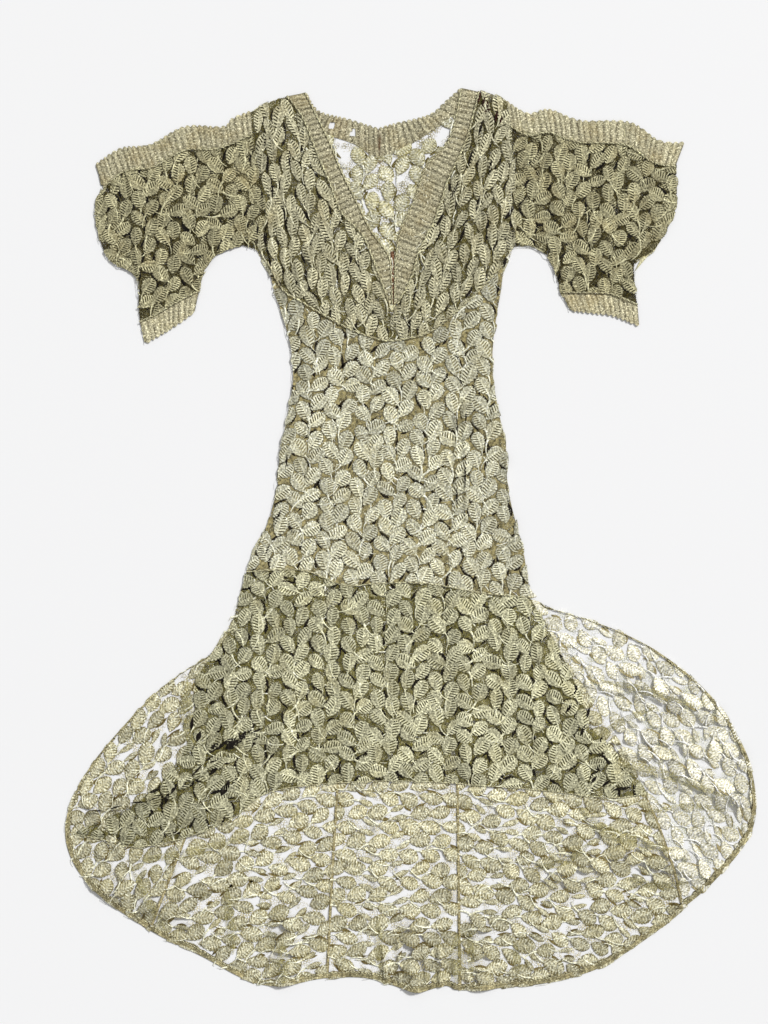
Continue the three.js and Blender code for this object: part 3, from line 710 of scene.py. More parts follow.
def lace_panel(name, node, materials, net, layer, seed, gaps=(), tilt=34, grain_turn=90,
               step=(33, 26.5), size=(38, 26), wander=15, shade=None):
    """A panel of leaf lace for a node: its net, and its leaves in a herringbone of sprigs.

    Each row of leaves leans the other way by the tilt from the turn of the lace's grain.
    """
    ring = border(net)[::4]
    sheet = ground(name + "_net", materials["net"], net, layer, gaps)
    sites, row, _ = lattice(step, grain_turn, ring.mean(axis=0))
    kept = clear_sites(sites, ring, gaps)
    lean = np.where(row % 2, -tilt, tilt)
    angle = np.radians(grain_turn + lean)
    motif = leaves(name + "_leaves", materials, frayed(net, seed), layer, sites[kept], angle[kept], size,
                   seed, wander, stray=2.4, shadow_share=0.9, shade=shade)
    stand_for(node, "leaf_lace", sheet, motif)
    return sheet, motif


LEAST_WIDTH = 12  # least width of a strip


def declare(net, strip=False):
    """Works out the area, width and length of a sheet that was cut to its own outline, or of a strip of the
    length of its seam; nothing uses them.

    The outline's area is half the sum, round it, of each point's x times the next point's y, less
    the next point's x times its y.
    """
    ring = border(net)
    x, y = ring.T
    area = abs((x * np.roll(y, -1) - y * np.roll(x, -1)).sum()) / 2
    width, length = np.ptp(ring, axis=0)
    if strip:
        length = length_of(net[:, 0])
        width = max(area / length, LEAST_WIDTH)


back_gaps = [
    (-142, 706, 29, 9, 105),
    (-118, 703, 10, 7, 0),
    (-84, 672, 28, 11, 95),
    (62, 730, 20, 10, 60),
    (17, 704, 13, 11, 0),
    (4, 676, 26, 12, 80),
    (-22, 650, 26, 12, 15),
    (-62, 622, 20, 9, 40),
    (-118, 664, 18, 8, 70),
]
back_lace = lace(
    "back_panel",
    light=(240, 237, 206),
    dark=(132, 123, 74),
    tint=(190, 181, 126),
    ground=(136, 127, 82),
    net=0.055,
    cell=0.0042,
    gap=(104, 94, 52),
    shape=hatched,
)
ACROSS, ALONG = 7, 12  # steps of the back's net to a stretch of its top and of its sides
back_sides = [
    joined(
        cut(f"back side {side}", 7 * ALONG),
        cut(f"armhole {side}", 6 * ALONG)[::-1],
        cut(f"armhole top {side}", ALONG)[::-1],
    )
    for side in ("left", "right")
]
back_top = joined(
    cut("back shoulder left", ACROSS),
    cut("back neck seam left", 6 * ACROSS),
    cut("back neck seam right", 6 * ACROSS),
    cut("back shoulder right", ACROSS),
)
hip_seam = evenly(np.array([HIP_LEFT, HIP_RIGHT], float), 14 * ACROSS)
back_net = spread(*back_sides, hip_seam, back_top)
back_sheet, back_leaves = lace_panel("back_panel", "back_body", back_lace, back_net, "back",
                                     seed=11, gaps=back_gaps)
declare(back_net)

# Train
# A fan of five gores in one layer, sewn to the back's straight hip seam and to each other with
# flat pressed seams. The same leaf lace lies here with its rows across each gore, and the floor
# shows through its net and through the open gaps between its leaves.

# Rulings from the hip seam to the hem. Columns: hip x, hem x, hem y, bow to the right.
train_rulings = np.array([
    (-303, -357, -208, 6),
    (-302, -441, -260, 58),
    (-300, -522, -341, 64),
    (-296, -585, -422, 68),
    (-290, -619, -505, 66),
    (-280, -608, -575, 50),
    (-262, -558, -638, 24),
    (-236, -468, -701, 0),
    (-203, -378, -746, -8),
    (-165, -266, -799, -10),
    (-103, -149, -787, -4),
    (-62, -72, -788, 0),
    (-20, 9, -811, 0),
    (28, 63, -801, 0),
    (81, 90, -809, 0),
    (96, 171, -804, 8),
    (120, 255, -794, 18),
    (142, 351, -764, 30),
    (168, 459, -692, 44),
    (180, 491, -662, 48),
    (192, 549, -611, 30),
    (201, 612, -530, 4),
    (206, 621, -449, -24),
    (209, 594, -359, -42),
    (211, 531, -269, -48),
    (213, 441, -197, -44),
    (214, 342, -150, -30),
    (215, 240, -121, 0),
], float)
HEM_WIDTH = 12

# Columns: node, first and last ruling, columns of the net, turn of the leaf rows.
gores = [
    ("side_gore_left", 0, 7, 72, 50),
    ("back_gore_left", 7, 10, 48, 14),
    ("back_gore_centre", 10, 14, 48, 0),
    ("back_gore_right", 14, 19, 64, -14),
    ("side_gore_right", 19, 27, 72, -50),
]
cut_lines |= {
    "front hip": [(-294, -56), (-194, -53), (-121, -80), (-58, -77), (13, -76), (63, -82), (126, -94),
        (216, -102)],
    "flounce side left": [(-604, -527), (-486, -467), (-428, -410), (-392, -345), (-383, -251),
        (-350, -200), (-320, -150), (-294, -56)],
    "flounce side right": [(428, -454), (370, -380), (326, -335), (305, -275), (270, -200),
        (237, -140), (216, -102)],
    "flounce hem": [(-604, -527), (-553, -537), (-506, -550), (-423, -539), (-320, -500), (-257, -454),
        (-139, -436), (18, -433), (216, -447), (360, -462), (428, -454)],
}
tear = (101, -678, 14, 7, 20)  # the round hole in the right back gore, as a gap
train_lace = lace(
    "train",
    light=(234, 229, 196),
    dark=(116, 104, 58),
    tint=(170, 160, 108),
    ground=(158, 148, 104),
    net=0.042,
    cell=0.0042,
    gap=(112, 98, 56),
    shape=hatched,
)
wing_lace = lace(
    "train_wing",
    light=(252, 250, 234),
    dark=(178, 170, 130),
    tint=(206, 199, 162),
    ground=(182, 174, 134),
    net=0.04,
    cell=0.0042,
    gap=(156, 144, 104),
    shape=hatched,
)
hem_to_hip = np.linspace(1, 0, 111)  # shares of a ruling's length from the hip seam


def train_net(first, last, columns, share=hem_to_hip):
    """Points along rulings of the train, hem first.

    A point lies on the straight ruling at its share of the length, plus the bow times four times
    the share times what is left of it.
    """
    at = np.linspace(first, last, columns + 1)
    hip_x, hem_x, hem_y, bow = through(train_rulings, at).T[:, :, None]
    x = hip_x + (hem_x - hip_x) * share + bow * 4 * share * (1 - share)
    y = HIP_LEFT[1] + (hem_y - HIP_LEFT[1]) * share
    return np.stack([x, y], axis=-1)


def train_shade(places):
    """The train's tone: lightest under the flounce, a fifth darker at the hem, and darker far left."""
    x, y = places.T
    return 1.12 - 0.24 * np.clip((-440 - y) / 360, 0, 1) - 0.18 * np.clip((-280 - x) / 120, 0, 1)


def flounce_outline(steps):
    """The outline of the front flounce, which covers part of the train."""
    return joined(
        cut("flounce hem", 2 * steps),
        cut("flounce side right", steps),
        cut("front hip", 2 * steps)[::-1],
        cut("flounce side left", steps)[::-1],
    )


GORE_STEP, GORE_TILT = (38, 25), 18  # steps of the train's rows of leaves, and how far each leans
OPEN_LONG, OPEN_WIDE = 24, 10  # an open gap of the train
SLIM_LONG, SLIM_WIDE = 30, 9.5  # the slim leaf on each side of an open gap
LEAF_LONG, LEAF_WIDE, WING_WIDE = 41.0, 25, 22  # the train's other leaves, narrower on its right wing


def gore_gaps(net, turn, flounce):
    """Open gaps of one gore: every fourth site of its lattice that is clear of edges and flounce."""
    ring = border(net)[::3]
    middle = net[len(net) // 2, -1]
    sites, row, column = lattice(GORE_STEP, turn, middle, 30)
    free = ((column + 2 * row) % 4 == 0) & inside(sites, ring)
    free &= ~inside(sites, flounce) & (nearest(sites, flounce)[1] > 26)
    free &= np.hypot(*(sites - tear[:2]).T) > OPEN_LONG
    lean = np.where(row % 2, -GORE_TILT, GORE_TILT) + turn
    ends = np.stack([np.cos(np.radians(lean)), np.sin(np.radians(lean))], axis=1) * OPEN_LONG / 2
    for tip in (sites + ends, sites - ends, sites):
        free &= inside(tip, ring) & (nearest(tip, ring)[1] > HEM_WIDTH + 5)
    used = [(x, y, OPEN_LONG, OPEN_WIDE, a) for (x, y), a in zip(sites[free], lean[free])]
    return sites, row, lean, free, ring, used


flounce_ring = flounce_outline(20)
gore_sheets, gore_nets = [], []
for order, (node, first, last, columns, turn) in enumerate(gores):
    net = train_net(first, last, columns)
    sites, row, lean, free, ring, gaps = gore_gaps(net, turn, flounce_ring)
    gaps = gaps + [tear] * (node == "back_gore_right")
    gore_lace = wing_lace if node == "side_gore_right" else train_lace
    sheet = ground(node + "_net", gore_lace["net"], net, "back", gaps)
    kept = clear_sites(sites, ring, gaps, 14)
    lean = np.radians(lean)
    beside = SLIM_WIDE * np.stack([-np.sin(lean[free]), np.cos(lean[free])], axis=1)
    spots = np.vstack([sites[kept], sites[free] + beside, sites[free] - beside])
    turns = np.concatenate([lean[kept], lean[free], lean[free]])
    pair = np.ones(2 * free.sum())
    lengths = np.concatenate([np.full(kept.sum(), LEAF_LONG), SLIM_LONG * pair])
    wide = WING_WIDE if gore_lace is wing_lace else LEAF_WIDE
    widths = np.concatenate([np.full(kept.sum(), wide), SLIM_WIDE * pair])
    motif = leaves(node + "_leaves", gore_lace, frayed(net, 80 + order), "back", spots, turns,
                   (lengths, widths), 30 + order, wander=8, stray=1.3, shadow_share=0.5, shade=train_shade)
    stand_for(node, "train_lace", sheet, motif)
    gore_sheets.append(sheet)
    gore_nets.append((net, motif))


def square_to(run):
    """Directions of unit length square to a run of points, on its left."""
    ahead = np.gradient(run, axis=0)
    return np.stack([-ahead[:, 1], ahead[:, 0]], axis=1) / np.linalg.norm(ahead, axis=1)[:, None]


STITCH = 5  # length of a stitch on a pressed seam


def welt(name, path, width, lift, height, material):
    """A pressed seam on the back layer: a low arch five points wide, highest on its middle line.

    The arch's height falls with the square of the share of its half width. Every second stitch has
    darker thread.
    """
    run = evenly(path, max(int(length_of(path) / STITCH), 2))
    side = np.array([1, 0.5, 0, -0.5, -1])
    spots = run[:, None] + square_to(run)[:, None] * side[:, None] * width / 2
    points = raised(spots, GROUND["back"] + lift + rise(spots, "back") + height * (1 - side**2))
    stitch = 0.75 + 0.25 * (np.arange(len(points)) // len(side) % 2)
    # The arch is lighter on its middle line and darker at its sides: painted light on its top and painted
    # shade at its foot. The darker stitches are the thread's own.
    thread = np.tile([0.1, 0.55, 0.9, 0.55, 0.1], len(run)) * stitch
    made = piece(name, points, grid_faces(len(run), 5), [material], thread=thread, tone=0 * thread + 1)
    return made


welt_material = thread_material("seam_welt", (182, 171, 128), (98, 86, 52), (144, 128, 88))
# Ruling of each seam, and its points that show. The last shows from the hem to the flounce's tip.
seam_rulings = [(7, 111), (10, 111), (14, 111), (19, 42)]
for k, (sheet, (net, motif)) in enumerate(zip(gore_sheets, gore_nets)):
    for ruling, shown in seam_rulings[k : k + 1]:
        seam = train_net(ruling, ruling, 0)[0][:shown]
        welt(f"gore_seam_{k + 1}", seam, width=5, lift=0.8, height=0.8,
                          material=welt_material)
    declare(net)


TUCK_LIFT, TUCK_ARCH = 1.8, 0.5  # height of a fold's edges over the net, and of its middle over them


def tuck(name, marks, width):
    """A fold of doubled cloth along marks: a low arch that is narrow at both ends.

    The width rises and falls as half a turn of sine, to the power 0.7, and the height falls with
    the square of the share of the half width.
    """
    marks = np.array(marks, float)
    run = evenly(through(marks, np.linspace(0, len(marks) - 1, 60)), 24)
    taper = np.sin(np.pi * np.linspace(0.02, 0.98, len(run)))[:, None, None] ** 0.7
    side = np.array([-1, -0.4, 0.3, 1])
    spots = run[:, None] + square_to(run)[:, None] * side[:, None] * width / 2 * taper
    points = raised(spots, GROUND["back"] + TUCK_LIFT + rise(spots, "back") + TUCK_ARCH * (1 - side**2))
    made = piece(name, points, grid_faces(len(run), 4)[:, ::-1], [tuck_material])


tuck_material = net_material("train_tuck", (142, 136, 92), thread=0.085, cell=0.003)
# Columns: width, then the points that the fold runs through.
tucks = [
    (14, (342, -252), (414, -267), (510, -298)),
    (7, (380, -262), (440, -276), (490, -290)),
    (13, (324, -366), (378, -327), (441, -300)),
    (16, (342, -399), (432, -412), (567, -460)),
    (8, (360, -402), (440, -416), (540, -448)),
    (22, (297, -467), (342, -517), (414, -543), (474, -557)),
    (13, (312, -486), (352, -521), (440, -548)),
    (15, (216, -590), (279, -576), (330, -540)),
    (17, (396, -610), (450, -621), (500, -614)),
    (12, (414, -492), (504, -478), (582, -487)),
    (16, (-285, -528), (-390, -560), (-498, -576)),
    (20, (-400, -250), (-400, -300), (-392, -384)),
    (10, (-404, -262), (-408, -310), (-402, -360)),
    (22, (-229, -720), (-228, -796)),
    (16, (-58, -680), (-54, -774)),
    (24, (85, -706), (84, -794)),
    (14, (108, -702), (110, -784)),
    (14, (189, -724), (194, -782)),
    (18, (-330, -620), (-318, -744)),
    (16, (-500, -590), (-440, -700)),
]
for k, (width, *marks) in enumerate(tucks, 1):
    tuck(f"train_tuck_{k}", marks, width)

# Train hem
# A narrow strip of the same lace, turned over the train's edge all round. Its own edge is frayed,
# and it is stitched down with a thin dark cord.


def twisted_cord(name, path, layer, lift, radius, pitch, step=1.6, dark=0.3):
    """Two strands wound round each other along a path, each a tube of four sides.

    A strand's middle stands off the path by its radius, at an angle of a full turn for each pitch.
    """
    total = length_of(path)
    run = evenly(path, max(int(total / step), 4))
    turn = 2 * np.pi * np.linspace(0, total, len(run)) / pitch + np.array([[0], [np.pi]])
    corner = np.pi / 2 * np.arange(4)
    off = radius * (np.cos(turn)[..., None] + np.cos(corner))
    up = radius * (np.sin(turn)[..., None] + np.sin(corner))
    spots = run[None, :, None] + square_to(run)[None, :, None] * off[..., None]
    points = raised(spots, GROUND[layer] + lift + rise(run, layer)[None, :, None] + 2 * radius + up)
    index = np.arange(len(points)).reshape(2, len(run), 4)
    around = np.roll(index, -1, axis=2)
    faces = np.stack([index[:, :-1], around[:, :-1], around[:, 1:], index[:, 1:]], axis=-1).reshape(-1, 4)
    thread = np.repeat([1.0, dark], len(run) * 4)
    made = piece(name, points, faces[:, ::-1], [cord_material], thread=thread, tone=0 * thread + 1)
    return made


cord_material = thread_material("twisted_cord", (226, 220, 180), (58, 42, 22), (130, 110, 70))
hem_material = thread_material("turned_hem", (188, 179, 136), (72, 60, 32), (140, 123, 78))
HEM_STEPS = 379
HEM_HEIGHT, HEM_ARCH = 1.2, 0.7  # of the strip's two edges, and of its middle over them
LAST_RULING = len(train_rulings) - 1
hem_top, hem_end = (
    train_net(0, LAST_RULING, HEM_STEPS, np.array([share]))[:, 0] for share in (0.0, 1.0)
)
hem_bow = through(train_rulings, np.linspace(0, LAST_RULING, HEM_STEPS + 1))[:, 3]
hem_long = np.hypot(hem_end[:, 0] - hem_top[:, 0] - 4 * hem_bow, hem_end[:, 1] - hem_top[:, 1])
hem_rows = np.linspace(0, 1, 6)
hem_net = train_net(0, LAST_RULING, HEM_STEPS, 1 - hem_rows[None] * HEM_WIDTH / hem_long[:, None])
fray = np.random.default_rng(9).normal(0, 1.2, (len(hem_net), 1, 2))
hem_net = hem_net + fray * hem_rows[None, :, None]
hem_z = HEM_HEIGHT + rise(hem_net, "back") + HEM_ARCH * np.sin(np.pi * np.clip(hem_rows, 0.05, 0.95))
hem = piece(
    "train_hem_strip",
    raised(hem_net, hem_z),
    grid_faces(*hem_net.shape[:2]),
    [hem_material],
    thread=np.tile([0.5, 0.8, 0.4, 0.75, 0.45, 0.2], len(hem_net)),
    tone=np.repeat(np.random.default_rng(10).uniform(0.55, 1.2, len(hem_net)), len(hem_rows)),
)
stand_for("train_hem", "turned_hem", hem)
hem_cord = twisted_cord("train_hem_stitching", hem_net[:, 4], "back", lift=1.1, radius=0.5, pitch=7,
                        step=2.4, dark=0.0)
declare(hem_net, strip=True)

# Back neck edging
# A band of close cords in ribs round the back of the neck, in two pieces that meet in a mitre at
# the centre back. Both are sewn to the back panel. The left one is stained and has two holes.

cut_lines |= {
    "back neck left": [(-190, 806), (-175, 780), (-157, 767), (-112, 756), (-57, 739)],
    "back neck right": [(-57, 739), (-27, 748), (20, 759), (45, 770), (65, 788), (94, 814)],
}
edging_material = thread_material("ribbed_edging", (208, 201, 166), (54, 44, 20), (158, 139, 92))
RIB_STEPS = 4  # steps of the net across a rib
RIB_HEIGHT = {"back": 0.9, "front": 1.4}
RIB_FOOT = 0.15  # how far the hollows between the ribs lie under the layer's net
RIB_LEAN = 0.02  # how far the ribs lean along the band at its middle, as a share of its length
SCALLOP, FULL_WIDTH = 4, 30  # how far a rib stands out of the edge, where the band is this wide


def edging(name, node, seam_name, edge_name, ribs, layer, gaps=(), marks=(), fade=1.0):
    """A band of uneven ribs from its seam to its free edge, which stands out at each rib.

    A rib is half a turn of sine across, and it sinks at both ends. The ribs lean along the band,
    most at its middle and not at its ends. A mark is a stain: x, y, reach and depth. It fades as
    the bell curve of the distance.
    """
    seam, edge = cut(seam_name, RIB_STEPS * ribs), cut(edge_name, RIB_STEPS * ribs)
    chance = np.random.default_rng(ribs)
    pace = np.repeat(chance.uniform(0.7, 1.3, ribs), RIB_STEPS)
    at = np.concatenate([[0], np.cumsum(pace)]) / pace.sum()
    leaning = at - RIB_LEAN * np.sin(np.pi * at)
    seam, edge = (
        np.stack([np.interp(place, np.linspace(0, 1, len(run)), axis) for axis in run.T], axis=1)
        for place, run in ((at, seam), (leaning, edge))
    )
    share = np.linspace(0, 1, 7)
    rib = np.abs(np.sin(np.pi * np.arange(ribs * RIB_STEPS + 1) / RIB_STEPS))
    out = edge - seam
    long = np.linalg.norm(out, axis=1)
    tip = edge + out / long[:, None] * (SCALLOP * np.minimum(1, long / FULL_WIDTH) * rib)[:, None]
    net = seam[:, None] + (tip - seam)[:, None] * share[:, None]
    ends = np.minimum(1, 0.25 + 4 * np.minimum(share, 1 - share))
    relief = RIB_HEIGHT[layer] * rib[:, None] * ends
    points = raised(net, GROUND[layer] - RIB_FOOT + rise(net, layer) + relief)
    faces = grid_faces(*net.shape[:2])
    kept = open_gaps(points[:, :2], faces, gaps, 2)
    # The thread value follows the rib's height: painted light on the ribs and painted shade in the hollows
    # between them and at their sunk ends.
    thread = (0.15 + 0.65 * rib[:, None] * (0.5 + 0.5 * ends) + 0.2 * (share > 0.85)).ravel()
    tone = fade * np.repeat(chance.uniform(0.8, 1.16, len(rib)), len(share))
    stain = np.zeros(len(points))
    for x, y, reach, depth in marks:
        far = ((points[:, :2] - (x, y)) ** 2).sum(axis=1)
        stain = np.maximum(stain, depth * np.exp(-far / reach**2))
    made = piece(name, points, faces[kept], [edging_material], thread=thread, tone=tone, stain=stain)
    stand_for(node, "ribbed_edging", made)
    return made, net


BACK_RIBS = 18
neck_holes = [(-141, 746, 11, 9, 0), (-104, 732, 13, 7, 25)]
mitre_stain = [
    (-56, 736, 4, 0.8),
    (-55, 722, 4, 0.9),
    (-55, 708, 5, 0.9),
    (-54, 694, 4, 0.9),
    (-54, 682, 4, 0.8),
]
neck_tints = [(-128, 748, 20, 0.2), (-172, 772, 18, 0.2), (-88, 726, 12, 0.18)]
for side, holes, marks in (("left", neck_holes, mitre_stain + neck_tints), ("right", [], mitre_stain)):
    made, net = edging(f"back_neck_edging_{side}", f"back_neck_band_{side}", f"back neck seam {side}",
                       f"back neck {side}", BACK_RIBS, "back", holes, marks)
    declare(net, strip=True)

# Sleeve backs
# The back half of each short split sleeve, cut from the leaf lace of the front. It is sewn to the
# armhole, lies flat under the front half, and is open along the top.

cut_lines |= {
    "sleeve top left": [(-565, 674), (-520, 703), (-466, 710), (-405, 742), (-337, 742), (-319, 757),
        (-286, 770)],
    "sleeve top right": [(173, 789), (212, 766), (250, 773), (308, 753), (394, 750), (448, 717),
        (493, 714)],
    "sleeve band seam left": [(-551, 634), (-512, 664), (-462, 671), (-405, 701), (-345, 704),
        (-283, 730)],
    "sleeve band seam right": [(180, 745), (212, 728), (250, 733), (300, 716), (385, 711), (436, 680),
        (477, 672)],
    "sleeve end left": [(-486, 393), (-488, 424), (-491, 474), (-540, 505), (-560, 550), (-565, 600),
        (-551, 634)],
    "sleeve end right": [(409, 424), (405, 454), (405, 501), (439, 523), (474, 585), (480, 630),
        (477, 672)],
    "band end left": [(-551, 634), (-565, 674)],
    "band end right": [(477, 672), (493, 714)],
    "cuff seam left": [(-486, 393), (-452, 409), (-417, 430), (-380, 448)],
    "cuff seam right": [(272, 446), (337, 445), (365, 442), (409, 424)],
    "cuff edge left": [(-475, 357), (-443, 375), (-410, 396), (-387, 413)],
    "cuff edge right": [(290, 415), (337, 410), (365, 406), (412, 388)],
    "cuff end outer left": [(-475, 357), (-486, 393)],
    "cuff end inner left": [(-387, 413), (-380, 448)],
    "cuff end inner right": [(290, 415), (272, 446)],
    "cuff end outer right": [(412, 388), (409, 424)],
    "underarm left": [(-380, 448), (-376, 470), (-360, 503), (-328, 525), (-301, 530), (-277, 523)],
    "underarm right": [(272, 446), (262, 480), (247, 512), (216, 532), (187, 528)],
}
# The sleeve lace's dark, ground and gap colours are near black: painted shade between the sleeve's two
# halves, which lie one on the other.
sleeve_lace = lace(
    "sleeve",
    light=(196, 190, 150),
    dark=(36, 30, 12),
    tint=(138, 122, 76),
    ground=(58, 52, 24),
    net=0.2,
    cell=0.0028,
    gap=(14, 10, 5),
    shape=leaf,
)
for side, seed in (("left", 41), ("right", 42)):
    inner = joined(cut(f"armhole {side}", 60)[::-1], cut(f"armhole top {side}", 10)[::-1])
    cuff_end, band_end = cut(f"cuff end outer {side}", 5), cut(f"band end {side}", 5)
    outer = joined(cuff_end, cut(f"sleeve end {side}", 60), band_end)
    edge, inner_end = cut(f"cuff edge {side}", 16), cut(f"cuff end inner {side}", 4)
    under = cut(f"underarm {side}", 40)
    if side == "left":
        lower = joined(edge, inner_end, under)
        net = spread(outer, inner, lower, cut("sleeve top left", 60))
    else:
        lower = joined(under[::-1], inner_end[::-1], edge)
        net = spread(inner, outer, lower, cut("sleeve top right", 60))
    name = f"sleeve_back_{side}"
    sheet, motif = lace_panel(name, name, sleeve_lace, net, "back", seed)
    declare(net)

# Bodice fronts
# Two gathered fronts of leaf lace with the leaves drawn out along the folds, sewn to the neck
# edging, the sleeves and the curved under-bust seam, and to each other under the slit.

cut_lines |= {
    "shoulder left": [(-286, 770), (-250, 789), (-221, 799)],
    "shoulder right": [(124, 807), (150, 802), (173, 789)],
    "neck seam left": [(-221, 799), (-193, 760), (-169, 701), (-146, 647), (-122, 588), (-86, 550),
        (-65, 501), (-37, 425)],
    "neck seam right": [(124, 807), (101, 721), (70, 652), (54, 604), (41, 570), (16, 520), (2, 472),
        (-23, 425)],
    "bust side left": [(-277, 523), (-256, 501)],
    "bust side right": [(187, 528), (167, 496)],
    "under bust left": [(-256, 501), (-229, 451), (-198, 431), (-149, 402), (-101, 377), (-54, 361),
        (-29, 359)],
    "under bust right": [(-29, 359), (-5, 363), (34, 374), (72, 402), (117, 442), (167, 496)],
}
ridges["front"] += [
    (132, 790, 12, 402, 11, 4.2),
    (141, 788, 44, 408, 9, 3.2),
    (148, 790, 72, 430, 12, 4.6),
    (155, 788, 97, 452, 8, 3.0),
    (161, 788, 120, 468, 11, 4.4),
    (167, 780, 141, 486, 8, 3.4),
    (171, 760, 160, 505, 9, 3.6),
    (-277, 752, -247, 492, 10, 3.0),
    (-266, 760, -222, 465, 12, 2.4),
    (-254, 768, -194, 442, 9, 2.8),
    (-243, 772, -164, 428, 13, 2.0),
]
# The bodice lace's dark, ground and gap colours are near black: painted shade between the bodice and the
# back panel under it.
bodice_lace = lace(
    "bodice",
    light=(210, 205, 170),
    dark=(40, 34, 14),
    tint=(150, 136, 90),
    ground=(82, 76, 40),
    net=0.2,
    cell=0.0028,
    gap=(20, 15, 8),
    shape=leaf,
)
SLIT_FOOT, CENTRE_FOOT = (-30, 400), (-29, 359)
for side, grain_turn, seed in (("left", 97, 51), ("right", 78, 52)):
    armhole_top, bust_side = cut(f"armhole top {side}", 10), cut(f"bust side {side}", 50)
    arm = joined(armhole_top, cut(f"armhole {side}", 60), bust_side)[::-1]
    centre = np.array([cut_lines[f"neck seam {side}"][-1], SLIT_FOOT, CENTRE_FOOT], float)
    neck = joined(cut(f"neck seam {side}", 100), evenly(centre[:2], 10), evenly(centre[1:], 10))[::-1]
    left, right = (arm, neck) if side == "left" else (neck, arm)
    net = spread(left, right, cut(f"under bust {side}", 48), cut(f"shoulder {side}", 48))
    sheet, motif = lace_panel(f"bodice_front_{side}", f"front_bodice_{side}", bodice_lace, net, "front",
                              seed, tilt=14, grain_turn=grain_turn, step=(39, 20), size=(44, 19.5),
                              wander=9)
    declare(net)

# Midriff
# The fitted panel from the under-bust seam to the hip seam, over the back panel. It lies flatter
# than the rest of the front, so its colours are painted lighter, and it darkens towards its two sides.

cut_lines |= {
    "waist side left": [(-294, -56), (-257, 28), (-238, 100), (-232, 163), (-216, 244), (-210, 298),
        (-215, 352), (-230, 406), (-247, 460), (-256, 501)],
    "waist side right": [(216, -102), (205, -26), (191, 28), (175, 100), (173, 163), (157, 244),
        (149, 298), (149, 352), (156, 406), (165, 460), (167, 496)],
}
# Its light colour is lighter than the bodice's: painted light for its flatter cloth. Its dark and gap
# colours are near black: painted shade between it and the back panel.
midriff_lace = lace(
    "midriff",
    light=(238, 235, 203),
    dark=(54, 48, 24),
    tint=(176, 166, 122),
    ground=(128, 119, 84),
    net=0.3,
    cell=0.0028,
    gap=(32, 26, 14),
    shape=leaf,
)
midriff_top = joined(cut("under bust left", 49), cut("under bust right", 49))
waist_left, waist_right = cut("waist side left", 120), cut("waist side right", 120)
midriff_net = spread(waist_left, waist_right, cut("front hip", 98), midriff_top)


def midriff_shade(places):
    """The midriff's tone: darker within 11 cm of the under-bust seam and within 5 cm of each side."""
    below = nearest(places, midriff_top)[1]
    sides = [nearest(places, cut(f"waist side {side}", 40))[1] for side in ("left", "right")]
    from_side = np.minimum(1, np.minimum(*sides) / 50)
    return (0.8 + 0.22 * np.minimum(1, below / 110)) * (0.84 + 0.17 * from_side)


midriff, motif = lace_panel("midriff", "front_midriff", midriff_lace, midriff_net, "front",
                            seed=61, grain_turn=86, shade=midriff_shade)
declare(midriff_net)

# Flounce
# The front skirt, from the hip seam to its own hem, cut wide at the hem and drawn out to a point
# at each side. Its lower edge has no hem: the leaves are cut at it, along a thin olive cord.

# The flounce lace's dark, ground and gap colours are dark: painted shade between the flounce and the train
# under it.
flounce_lace = lace(
    "flounce",
    light=(218, 215, 178),
    dark=(42, 37, 16),
    tint=(156, 145, 94),
    ground=(92, 87, 46),
    net=0.2,
    cell=0.0028,
    gap=(20, 15, 8),
    shape=leaf,
)
flounce_left, flounce_right = cut("flounce side left", 110), cut("flounce side right", 110)
flounce_top = evenly(cut("front hip", 140), 140)
flounce_net = spread(flounce_left, flounce_right, cut("flounce hem", 140), flounce_top)


def flounce_shade(places):
    """The flounce's tone falls by a quarter towards the drawn-out left side."""
    return 1.03 - 0.27 * np.clip((-190 - places[:, 0]) / 200, 0, 1)


flounce, motif = lace_panel("flounce", "front_flounce", flounce_lace, flounce_net, "front",
                            seed=62, wander=24, shade=flounce_shade)
declare(flounce_net)

# Sleeve fronts
# The front half of each sleeve, of the same leaf lace, gathered into its armhole. It is sewn to the
# ribbed edging of the open top and to the cuff, and lies on the back half.

ridges["front"] += [
    (-478, 410, -500, 640, 14, 3.8),
    (-450, 425, -455, 655, 11, 3.0),
    (-425, 440, -410, 680, 15, 4.0),
    (-398, 455, -365, 690, 12, 3.2),
    (-360, 505, -325, 700, 13, 3.6),
    (390, 440, 440, 660, 14, 3.8),
    (368, 450, 400, 685, 11, 3.0),
    (340, 455, 350, 695, 15, 4.0),
    (310, 455, 300, 705, 12, 3.2),
    (278, 460, 245, 715, 13, 3.6),
]
for side, seed in (("left", 71), ("right", 72)):
    inner, outer = cut(f"armhole {side}", 60)[::-1], cut(f"sleeve end {side}", 60)
    cuff, under = cut(f"cuff seam {side}", 20), cut(f"underarm {side}", 40)
    if side == "left":
        net = spread(outer, inner, joined(cuff, under), cut("sleeve band seam left", 60))
    else:
        net = spread(inner, outer, joined(under[::-1], cuff), cut("sleeve band seam right", 60))
    name = f"sleeve_front_{side}"
    sheet, motif = lace_panel(name, name, sleeve_lace, net, "front", seed, tilt=26, grain_turn=88,
                              step=(33.5, 23), size=(36, 23.5), wander=32)
    declare(net)

# Neck edging
# The ribbed band down each side of the V, with a twisted cord along its seam and another along
# its free edge, and both bands running on down the short slit below the V.

